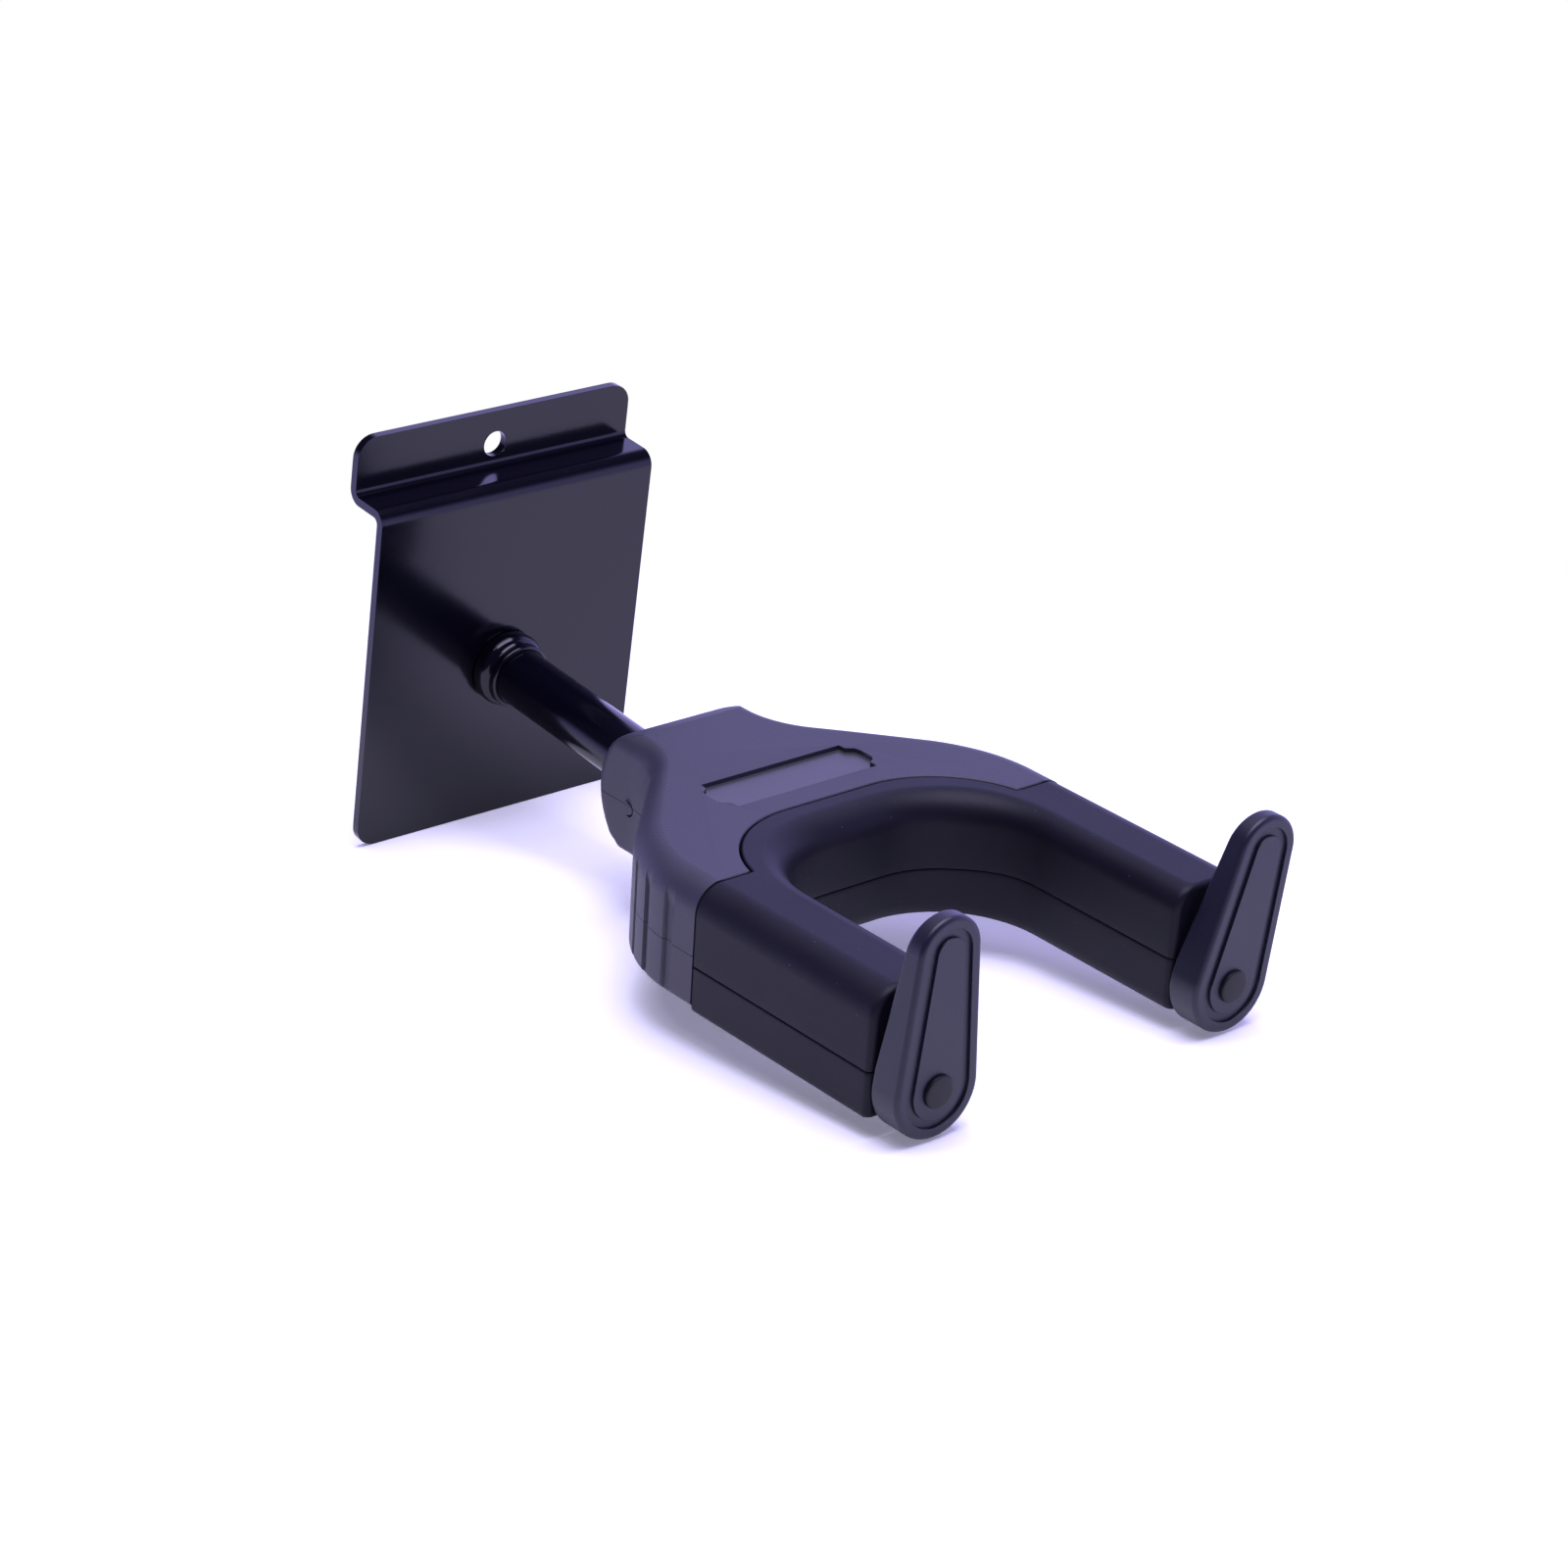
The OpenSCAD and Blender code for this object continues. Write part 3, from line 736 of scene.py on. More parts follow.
    def collar(self) -> bpy.types.Object:
        """Makes the rounded collar: a bulged ring, a neck and a thin rim round the rod."""
        edge = self.collar_r
        profile = [(self.rod_r, 0.0), (edge - 0.6, 0.0), (edge - 0.3, 0.25)]
        profile += [(edge - 0.3 * (1 - math.sin(math.pi * (0.15 + 0.35 * k / 6))), 0.45 + 1.75 * k / 6)
                    for k in range(7)]
        profile += arc((edge - 2.2, 2.2), 2.2, 6, 58, 12)
        profile += [(edge - 1.33, 4.6), (edge - 1.45, 5.2), (edge - 1.4, 5.6)]
        profile += arc((edge - 1.75, 6.2), 0.62, -32, 88, 8)
        profile += [(self.rod_r + 0.25, 6.75), (self.rod_r, 6.6)]
        piece = lathe("rod_root_ring", profile, on_axis, 96)
        soften(piece, 0.0)
        return piece

    def build(self, dresser: Dresser) -> None:
        """Makes and places every piece of the bracket."""
        add(self.plate(), "bracket", "gloss_black_steel", dresser, ["wall_plate"])
        add(self.rod(), "bracket", "gloss_black_steel", dresser, ["support_rod"])
        add(self.collar(), "bracket", "gloss_black_steel", dresser, ["rod_collar"])


# --------------------------------------------------------------------------- head


class Shell(Enum):
    """Which of the head's two shells."""

    UPPER = "upper"
    LOWER = "lower"


@dataclass
class Head:
    """Head shells and plain badge, in millimetres of the yoke frame."""

    neck: float = 17.2
    width: float = 50.5
    rear: float = 55.7
    front: float = 132.8
    top: float = 11.5
    bottom: float = -15.6
    bottom_round: float = 1.4
    seam: float = -4.1
    flare_start: float = 68.5
    flare_r: float = 20.0
    shoulder_r: float = 36.0
    side_arc_r: float = 14.15
    side_mid: float = -2.5
    rear_corner: float = 5.0
    arch_r: float = 25.0
    arch_x: float = 11.8
    arch_bottom: float = 114.2
    gap: float = 0.5
    neck_round: float = 4.2
    shoulder_round: float = 6.2
    crisp: float = 0.45
    grooves: tuple[float, ...] = (109.3, 116.0, 124.4)
    groove_widths: tuple[float, ...] = (1.1, 1.7, 2.4)
    groove_depth: float = 0.62
    badge_reach: float = 101.2
    badge_size: Point2 = (38.0, 12.5)
    badge_deep: float = 1.1
    badge_ear: float = 2.3
    screw_spots: tuple[Point2, ...] = ((-11.0, 93.0), (11.0, 93.0), (-29.0, 103.0), (29.0, 103.0))
    well_r: float = 2.75
    well_deep: float = 1.9
    crank_x: Point2 = (36.0, 46.4)
    crank_reach: Point2 = (117.6, 123.5)
    crank_deep: float = 2.4
    shaft_x: Point2 = (36.9, 43.5)
    shaft_top: float = -5.6
    seam_gap: float = 0.06
    wall: float = 2.3
    room_start: float = 88.6
    tongue_x: float = 23.7
    tongue_reach: Point2 = (92.6, 124.0)
    tongue_height: Point2 = (-7.2, 3.4)
    bores: tuple[Point2, ...] = ((6.9, 40.0), (6.9, 62.5), (8.2, 62.5), (8.2, 71.8), (6.5, 71.8), (6.5, 89.5))
    hook_at: Point2 = (68.9, -4.9)
    hook_r: Point2 = (1.75, 1.35)
    stop_slot: tuple[Point2, ...] = ((-1.9, 0.0), (1.9, 0.0), (7.3, 9.3), (-7.3, 9.3))
    stop_out: Point2 = (74.3, 77.3)

    def shoulder_at(self) -> float:
        """Reach at which the shoulder's curve ends."""
        both = self.flare_r + self.shoulder_r
        sideways = self.width - self.neck - both * (1 - math.cos(math.pi / 4))
        return self.flare_start + both * math.sin(math.pi / 4) + sideways

    def rear_at(self, height: float) -> float:
        """Reach of the round rear face at a height."""
        lift = min(abs(height - self.side_mid), self.side_arc_r - 0.01)
        return self.rear + self.side_arc_r - math.sqrt(self.side_arc_r ** 2 - lift ** 2)

    def drawn_in(self, reach: float, height: float) -> float:
        """Reach of a point of the neck once its rear has been drawn in to the round rear face."""
        share = (self.flare_start - self.rear_at(height)) / (self.flare_start - self.rear)
        return self.flare_start - (self.flare_start - reach) * share if reach < self.flare_start else reach

    def groove_at(self, reach: float) -> float:
        """Depth of the shoulder's upright grooves at a reach."""
        deep = 0.0
        for centre, width in zip(self.grooves, self.groove_widths):
            off = abs(reach - centre) - width / 2
            deep = max(deep, self.groove_depth * (1 - smooth(off / 0.25)) if off < 0.25 else 0.0)
        return deep

    def side_edge(self, x: float, reach: float, inward: Point2) -> Edge:
        """One point of the outer side, with its rounding and groove."""
        share = smooth((reach - 80) / 30)
        rounding = self.neck_round + (self.shoulder_round - self.neck_round) * share
        return Edge(x, reach, inward, rounding, self.bottom_round, self.groove_at(reach))

    def outer_half(self) -> list[Edge]:
        """Right outer side from the rear's middle to the front corner, before the rear is drawn in."""
        rear, corner = self.rear, self.rear_corner
        edges = [Edge(x, rear, (0.0, 1.0), 2.4, 2.0)
                 for x, _ in straight((0.0, 0.0), (self.neck - corner, 0.0), 8)]
        for k in range(1, 9):
            a = math.radians(-90 + 90 * k / 8)
            c, s = math.cos(a), math.sin(a)
            edges.append(Edge(self.neck - corner + corner * c, rear + corner + corner * s, (-c, -s),
                              2.4 + (self.neck_round - 2.4) * k / 8, 2.0 + k / 8))
        edges += [self.side_edge(x, r, (-1.0, 0.0))
                  for x, r in straight((self.neck, rear + corner), (self.neck, self.flare_start), 6)[1:]]
        for x, r in arc((self.neck + self.flare_r, self.flare_start), self.flare_r, 180, 135, 16)[1:]:
            out = (self.neck + self.flare_r - x, self.flare_start - r)
            edges.append(self.side_edge(x, r, (-out[0] / self.flare_r, -out[1] / self.flare_r)))
        s = math.sqrt(0.5)
        centre = (self.width - self.shoulder_r, self.shoulder_at())
        start = (edges[-1].x, edges[-1].reach)
        end = (centre[0] + self.shoulder_r * s, centre[1] - self.shoulder_r * s)
        edges += [self.side_edge(x, r, (-s, s)) for x, r in straight(start, end, 14)[1:]]
        for x, r in arc(centre, self.shoulder_r, -45, 0, 130)[1:]:
            inward = ((centre[0] - x) / self.shoulder_r, (centre[1] - r) / self.shoulder_r)
            edges.append(self.side_edge(x, r, inward))
        edges += [self.side_edge(x, r, (-1.0, 0.0))
                  for x, r in straight((self.width, centre[1]), (self.width, self.front), 32)[1:]]
        return edges

    def inner_half(self) -> list[Edge]:
        """Front face and arch from the right front corner to the arch's middle."""
        grown = self.arch_r + self.gap
        centre = (self.arch_x, self.arch_bottom + self.arch_r)
        start = math.degrees(math.asin((self.front - centre[1]) / grown))
        lip = centre[0] + grown * math.cos(math.radians(start))
        edges = [Edge(x, self.front, (0.0, -1.0), self.crisp, self.crisp)
                 for x, _ in straight((self.width - self.shoulder_round, 0.0), (lip + 0.6, 0.0), 6)]
        for x, r in arc(centre, grown, start, -90, 40):
            out = ((x - centre[0]) / grown, (r - centre[1]) / grown)
            edges.append(Edge(x, r, out, self.crisp, self.crisp))
        return edges + [Edge(x, centre[1] - grown, (0.0, -1.0), self.crisp, self.crisp)
                        for x, _ in straight((centre[0], 0.0), (0.0, 0.0), 8)[1:]]

    def ring(self, height: Optional[float], turn: float, shell: Shell) -> list[Vector]:
        """One closed ring of a shell.

        Args:
            height: The ring's height on the straight wall, or None on the rounded edge.
            turn: How far round the edge, in degrees.
            shell: Which shell.

        Returns:
            The ring's points.
        """
        up = shell is Shell.UPPER
        limit = self.top if up else self.bottom
        sign = 1.0 if up else -1.0
        c, s = 1 - math.cos(math.radians(turn)), math.sin(math.radians(turn))

        def place(edge: Edge) -> Vector:
            """Puts one point of the outline on this ring."""
            rounding = edge.top_round if up else edge.bottom_round
            level = height if height is not None else limit - sign * rounding * (1 - s)
            if height is not None and sign * (limit - level) < rounding:
                level = limit - sign * rounding
            fade = 1 - smooth((level - 4.0) / 4.0) if up else smooth((level - limit) / 1.2)
            inset = rounding * c + edge.groove * fade
            reach = self.drawn_in(edge.reach + edge.inward[1] * inset, level)
            return YOKE.at(edge.x + edge.inward[0] * inset, reach, level)

        right = [place(edge) for edge in self.outer_half() + self.inner_half()]
        # both ends of the half lie on the middle line, so the mirrored half leaves them out
        left = [Vector((-p.x, p.y, p.z)) for p in reversed(right[1:-1])]
        return right + left

    def shell(self, which: Shell) -> bpy.types.Object:
        """Makes one shell as a closed skin with a rounded outer edge."""
        up = which is Shell.UPPER
        sign = 1.0 if up else -1.0
        start = self.seam + sign * self.seam_gap
        steps = (0.0, 0.25, 2.0, 4.0, 6.0) + ((8.0, 9.5, 11.3, 12.6) if up else (8.5, 10.5))
        rings = [self.ring(start + sign * step, 0.0, which) for step in steps]
        rings += [self.ring(None, turn, which) for turn in (0, 6, 14, 23, 33, 44, 55, 66, 76, 84, 90)]
        return to_object(f"head_{which.value}_skin", loft(rings), 42.0)

    def badge_outline(self, inset: float) -> list[Point2]:
        """Stepped oblong of the recess, made smaller by an inset."""
        x, y, ear = self.badge_size[0] / 2 - inset, self.badge_size[1] / 2 - inset, self.badge_ear
        corner = [(x, -y), (x + 0.15, 1.9 - y), (x + ear - 0.4, 3.1 - y), (x + ear, 4.6 - y),
                  (x + ear, y - 4.2), (x + ear - 0.7, y - 3.0), (x + 0.15, y - 2.2), (x, y)]
        points = corner + [(-px, py) for px, py in reversed(corner)]
        return [(px, py + self.badge_reach) for px, py in points]

    def prism(self, name: str, outline: Sequence[Point2], low: float, high: float) -> bpy.types.Object:
        """Makes an upright prism from an [x, reach] outline."""
        return to_object(name, loft([YOKE.ring(outline, low), YOKE.ring(outline, high)]))

    def upright(self, name: str, spot: Point2, profile: Sequence[Point2]) -> bpy.types.Object:
        """Makes a turned piece that stands square to the top face."""
        return lathe(name, profile, lambda x, y, up: YOKE.at(spot[0] + x, spot[1] + y, up), 40)

    def upper_shell(self) -> bpy.types.Object:
        """Makes the upper shell with its badge recess."""
        piece = self.shell(Shell.UPPER)
        badge = self.prism("badge_tool", self.badge_outline(0.0), self.top - self.badge_deep, self.top + 2)
        cut(piece, [badge] + self.cavity(True))
        soften(piece, 0.12, 50.0)
        return piece

    def lower_shell(self) -> bpy.types.Object:
        """Makes the lower shell with its screw wells and crank windows."""
        piece = self.shell(Shell.LOWER)
        well = [(self.well_r, self.bottom - 1), (self.well_r, self.bottom + self.well_deep)]
        tools = [self.upright(f"well_tool_{i}", spot, well)
                 for i, spot in enumerate(self.screw_spots)]
        start = self.crank_reach[0]
        for side in (-1, 1):
            tools.append(block(f"crank_tool_{side}", sorted(side * x for x in self.crank_x), self.crank_reach,
                               (self.bottom - 1, self.bottom + self.crank_deep)))
            tools.append(block(f"shaft_tool_{side}", sorted(side * x for x in self.shaft_x),
                               (start, self.front + 1), (self.bottom - 1, self.shaft_top)))
        cut(piece, tools + self.cavity(False))
        soften(piece, 0.12, 50.0)
        return piece

    def badge(self) -> bpy.types.Object:
        """Makes the plain badge plate at the recess's floor."""
        floor = self.top - self.badge_deep
        rings = [YOKE.ring(self.badge_outline(inset), floor + up)
                 for inset, up in ((0.06, 0.01), (0.06, 0.14), (0.16, 0.2))]
        piece = to_object("badge_blank", loft(rings), 30.0)
        soften(piece, 0.0)
        return piece

    def build(self, dresser: Dresser) -> None:
        """Makes and places every piece of the head."""
        add(self.upper_shell(), "head", "textured_plastic", dresser, ["head_upper_shell"])
        add(self.lower_shell(), "head", "textured_plastic", dresser, ["head_lower_shell"])
        add(self.badge(), "head", "badge_plastic", dresser, ["badge_insert"])

    def cavity(self, up: bool) -> list[bpy.types.Object]:
        """Makes the tools that hollow a shell: the room, the tongue's slot and the swivel's bores."""
        low, high = (self.seam - 1, self.top - 3) if up else (self.bottom + 2.3, self.seam + 1)
        skin, rear, front = self.wall, self.room_start, self.front - self.wall

        def moved_in(edges: list[Edge]) -> list[Point2]:
            """Moves an outline in by the wall and keeps the stretch that bounds the room."""
            moved = [(e.x + skin * e.inward[0], e.reach + skin * e.inward[1]) for e in edges if e.x > 0.1]
            return [p for p in moved if rear + 0.1 < p[1] < front - 0.1]

        side = moved_in(self.outer_half())
        arch = moved_in([e for e in self.inner_half() if e.reach < self.front - 0.1])
        lip = self.arch_x + math.sqrt((self.arch_r + self.gap + skin) ** 2
                                      - (self.arch_bottom + self.arch_r - front) ** 2)
        right = [(0.0, rear), (side[0][0] - 0.1, rear), *side,
                 (self.width - skin, front), (lip, front), *arch]
        ring = right + [(0.0, arch[-1][1])] + [(-x, r) for x, r in reversed(right[1:])]
        tools = [self.prism("room_tool", ring, low, high),
                 block("slot_tool", (-self.tongue_x, self.tongue_x), self.tongue_reach, self.tongue_height),
                 lathe("bore_tool", self.bores, on_axis, 48)]
        hook = arc(self.hook_at, self.hook_r[0], -105, 105, 16)
        hook += arc(self.hook_at, self.hook_r[1], 105, -105, 16)
        for side_x in (-1, 1):
            tools.append(to_object("hook_tool", loft([[YOKE.at(side_x * x, r, t) for r, t in hook]
                                                      for x in (self.neck - 0.7, self.neck + 1.2)])))
        tools.append(to_object("stop_tool", loft([[on_axis(x, z, out) for x, z in self.stop_slot]
                                                  for out in self.stop_out])))
        return tools


# --------------------------------------------------------------------------- cradle


def turned_in(depth: float, rounding: float) -> float:
    """How far a rounded edge has turned in at a depth below its face, in millimetres."""
    left = rounding - depth
    return rounding - math.sqrt(rounding ** 2 - left ** 2) if left > 0 else 0.0


@dataclass(frozen=True)
class Rim:
    """A point of the cradle's outline: the walls that meet there and the joint's height."""

    x: float
    reach: float
    walls: tuple[tuple[Point2, float, float], ...]
    seam: float

    def at(self, level: float, depth: float, up: bool, extra: float = 0.0) -> Vector:
        """Returns the point at a level that lies a depth inside the top or bottom face."""
        x, reach = self.x, self.reach
        for (nx, nr), top_round, bottom_round in self.walls:
            inset = turned_in(depth, top_round if up else bottom_round) + extra
            x, reach = x + nx * inset, reach + nr * inset
        return YOKE.at(x, reach, level)


@dataclass
class Cradle:
    """Soft U-shaped cradle of two rubber halves, in millimetres of the yoke frame."""

    width: float = 50.5
    arm: float = 19.8
    rear: float = 133.3
    end: float = 187.7
    arch_r: float = 25.0
    arch_x: float = 11.8
    arch_bottom: float = 114.2
    throat: float = 124.0
    throat_r: float = 22.7
    top: float = 11.5
    bottom: float = -16.6
    seam_out: float = -6.2
    seam_in: float = -4.2
    outer_round: float = 6.6
    bottom_round: float = 1.4
    inner_round: float = 5.0
    throat_round: float = 6.5
    end_round: float = 1.4
    corner: float = 1.6
    skin: float = 2.4
    shaft_x: float = 40.2
    shaft_t: float = 8.9
    bush_r: float = 4.0
    tongue: tuple[Point2, Point2, Point2] = ((-23.2, 23.2), (100.0, 120.3), (-3.0, 3.0))
    inside: float = 99.0
    levels: tuple[float, ...] = (6.5, 5.8, 5.0, 4.2, 3.5, 2.8, 2.2, 1.7, 1.25, 0.9, 0.6, 0.38, 0.2, 0.08,
                                 0.02, 0.0)

    def seam_at(self, x: float) -> float:
        """Height of the joint between the halves across an arm."""
        share = min(max((x - self.width + self.arm) / self.arm, 0.0), 1.0)
        return self.seam_in + (self.seam_out - self.seam_in) * share

    def half(self) -> list[Rim]:
        """Right half of the outline, from the arch's middle round the arm to the throat's middle."""
        crisp, mid = 0.45, (self.seam_in + self.seam_out) / 2
        arch = (self.arch_x, self.arch_bottom + self.arch_r)
        rise = math.degrees(math.asin((arch[1] - self.rear) / self.arch_r))
        rims = [Rim(x, r, (((0.0, 1.0), crisp, crisp),), mid)
                for x, r in straight((0.0, self.arch_bottom), (self.arch_x, self.arch_bottom), 6)[:-1]]
        for x, r in arc(arch, self.arch_r, 270, 360 - rise, 36):
            inward = ((arch[0] - x) / self.arch_r, (arch[1] - r) / self.arch_r)
            rims.append(Rim(x, r, ((inward, crisp, crisp),), mid))
        side = ((-1.0, 0.0), self.outer_round, self.bottom_round)
        rear = ((0.0, 1.0), crisp, crisp)
        end = ((0.0, -1.0), self.end_round, self.end_round)
        inner = ((1.0, 0.0), self.inner_round, 3.0)
        flat = (self.width - self.outer_round - 0.3, self.rear)
        rims += [Rim(x, r, (rear,), self.seam_at(x))
                 for x, r in straight((rims[-1].x, self.rear), flat, 5)[1:]]
        rims.append(Rim(self.width, self.rear, (rear, side), self.seam_out))
        stop = (self.width, self.end - self.corner)
        rims += [Rim(x, r, (side,), self.seam_out)
                 for x, r in straight((self.width, self.rear + 0.6), stop, 30)]
        for x, r in arc((self.width - self.corner, self.end - self.corner), self.corner, 0, 90, 6)[1:]:
            rims.append(Rim(x, r, (side, end), self.seam_at(x)))
        inside = self.width - self.arm
        out = (self.width - self.corner - self.outer_round - 0.4, self.end)
        back = (inside + self.corner + self.inner_round + 0.4, self.end)
        rims += [Rim(x, r, (end,), self.seam_at(x)) for x, r in straight(out, back, 6)]
        for x, r in arc((inside + self.corner, self.end - self.corner), self.corner, 90, 180, 6):
            rims.append(Rim(x, r, (end, inner), self.seam_at(x)))
        turn = (inside - self.throat_r, self.throat + self.throat_r)
        rims += [Rim(x, r, (inner,), self.seam_in)
                 for x, r in straight((inside, self.end - self.corner), (inside, turn[1]), 26)[1:]]
        for k, (x, r) in enumerate(arc(turn, self.throat_r, 360, 270, 44)):
            share = smooth(k / 26)
            outward = ((x - turn[0]) / self.throat_r, (r - turn[1]) / self.throat_r)
            rounds = (self.inner_round + (self.throat_round - self.inner_round) * share, 3.0 + 0.5 * share)
            rims.append(Rim(x, r, ((outward, *rounds),), self.seam_in + (mid - self.seam_in) * share))
        last = rims[-1]
        return rims + [Rim(x, last.reach, last.walls, mid)
                       for x, _ in straight((last.x, 0.0), (0.0, 0.0), 6)[1:]]

    def whole(self, make: Callable[[Rim], Vector], half: Sequence[Rim]) -> list[Vector]:
        """Both halves of a ring, the left one mirrored."""
        right = [make(rim) for rim in half]
        return right + [Vector((-p.x, p.y, p.z)) for p in reversed(right[1:-1])]

    def pad(self, up: bool) -> bpy.types.Object:
        """Makes the upper or the lower rubber half, open for the core and the shafts."""
        sign = 1.0 if up else -1.0
        face = self.top if up else self.bottom
        half = self.half()
        start = face - sign * self.levels[0]
        rings = []
        for gap, inset in ((0.04, 0.34), (0.16, 0.1), (0.38, 0.0)):
            rings.append(self.whole(lambda rim: rim.at(rim.seam + sign * gap, self.inside, up, inset), half))
        for share in (0.2, 0.4, 0.6, 0.8):
            rings.append(self.whole(lambda rim: rim.at(
                rim.seam + sign * 0.38 + (start - rim.seam - sign * 0.38) * share, self.inside, up), half))
        for depth in self.levels:
            rings.append(self.whole(lambda rim: rim.at(face - sign * depth, depth, up), half))
        piece = to_object("pad_upper" if up else "pad_lower", loft(rings), 48.0)
        low, high = (-30.0, face - self.skin) if up else (face + self.skin, 10.0)
        core = self.whole(lambda rim: rim.at(low, self.inside, up, self.skin), half)
        core_top = self.whole(lambda rim: rim.at(high, self.inside, up, self.skin), half)
        tools = [to_object("core_tool", loft([core, core_top])), block("tongue_tool", *self.tongue)]
        for side in (-1, 1):
            bore = [(self.bush_r, self.rear - 1), (self.bush_r, self.end + 1)]
            tools.append(lathe(f"shaft_tool_{side}", bore,
                               shaft_place(side, self.shaft_x, self.shaft_t), 48))
        cut(piece, tools)
        soften(piece, 0.0)
        return piece

    def build(self, dresser: Dresser) -> None:
        """Makes and places both rubber halves."""
        for up, node in ((True, "upper_pad"), (False, "lower_pad")):
            piece = self.pad(up)
            add(piece, "cradle", "soft_rubber", dresser, [node])


def shaft_place(side: int, across: float, drop: float) -> Callable[[float, float, float], Vector]:
    """Gives the map from across, up and along a gate's shaft to the row frame."""
    return lambda x, z, along: YOKE.at(side * across + x, along, z - drop)


# --------------------------------------------------------------------------- gates


class Side(Enum):
    """Which arm, with the direction of X that it lies on."""

    LEFT = -1
    RIGHT = 1


@dataclass
class Gate:
    """A teardrop gate at an arm's end with its pin head, in millimetres."""

    side: Side
    lean: float
    big_r: float = 10.6
    small_r: float = 7.9
    length: float = 29.3
    front: float = 196.3
    back: float = 188.5
    back_tip: float = 192.3
    taper_from: float = 4.0
    front_round: float = 1.1
    back_round: float = 0.8
    groove_inset: float = 2.5
    groove_w: float = 1.9
    groove_deep: float = 0.62
    shaft_x: float = 40.2
    shaft_t: float = 8.9
    head_r: float = 3.6
    head_proud: float = 0.9
    shank_r: float = 1.5
    shank_end: float = 185.5

    def outline(self, inset: float) -> list[Point2]:
        """Two round ends joined by tangents, in the gate's own upright frame."""
        big, small = self.big_r - inset, self.small_r - inset
        a = math.degrees(math.asin((big - small) / self.length))
        tip = arc((0.0, self.length), small, a, 180 - a, 30)
        foot = arc((0.0, 0.0), big, 180 - a, 360 + a, 46)
        left = straight(tip[-1], foot[0], 8)[1:-1]
        right = straight(foot[-1], tip[0], 8)[1:-1]
        return tip + left + foot + right

    def place(self, point: Point2, reach: float) -> Vector:
        """Maps a point of the gate's own frame to the row frame."""
        a = math.radians(self.side.value * self.lean)
        x = point[0] * math.cos(a) - point[1] * math.sin(a)
        z = point[0] * math.sin(a) + point[1] * math.cos(a)
        return YOKE.at(self.side.value * self.shaft_x + x, reach, z - self.shaft_t)

    def back_at(self, up: float) -> float:
        """Reach of the back face at a height up the gate."""
        run = self.length + self.small_r + 1 - self.taper_from
        return self.back + (self.back_tip - self.back) * min(max((up - self.taper_from) / run, 0.0), 1.0)

    def plate(self) -> bpy.types.Object:
        """Makes the gate with its rounded edges and channel."""
        rings = []
        for inset, depth in (rounded(self.back_round, turn) for turn in range(90, -1, -18)):
            rings.append([self.place(p, self.back_at(p[1]) + depth) for p in self.outline(inset)])
        a, b, deep = self.groove_inset, self.groove_inset + self.groove_w, self.groove_deep
        steps = [rounded(self.front_round, turn) for turn in (0, 10, 22, 35, 48, 60, 72, 82, 90)]
        steps += [(a - 0.05, 0.0), (a, 0.05), (a + 0.06, deep), (b - 0.06, deep), (b, 0.05), (b + 0.05, 0.0)]
        rings += [[self.place(p, self.front - depth) for p in self.outline(inset)] for inset, depth in steps]
        piece = to_object(f"{self.side.name.lower()}_gate_plate", loft(rings), 40.0)
        soften(piece, 0.0)
        return piece

    def pin_head(self) -> bpy.types.Object:
        """Makes the domed pin head and its shank."""
        r, top, dome = self.head_r, self.front + self.head_proud, 0.42
        profile = [(self.shank_r, self.shank_end), (self.shank_r, self.front + 0.02),
                   (r - 0.15, self.front + 0.02), (r, self.front + 0.15), (r, top - dome)]
        profile += arc((r - dome, top - dome), dome, 10, 80, 5)
        profile += [(r - 1.0, top + 0.02), (r * 0.45, top + 0.07), (0.3, top + 0.08)]
        piece = lathe(f"{self.side.name.lower()}_pin_head", profile,
                      shaft_place(self.side.value, self.shaft_x, self.shaft_t), 56)
        soften(piece, 0.0)
        return piece

    def build(self, dresser: Dresser) -> None:
        """Makes and places the gate and its pin head."""
        name = self.side.name.lower()
        add(self.plate(), f"{name}_gate", "gate_plastic", dresser, [f"{name}_gate"])
        add(self.pin_head(), f"{name}_gate", "dark_screw", dresser, [f"{name}_gate_screw"])


# --------------------------------------------------------------------------- underside screws


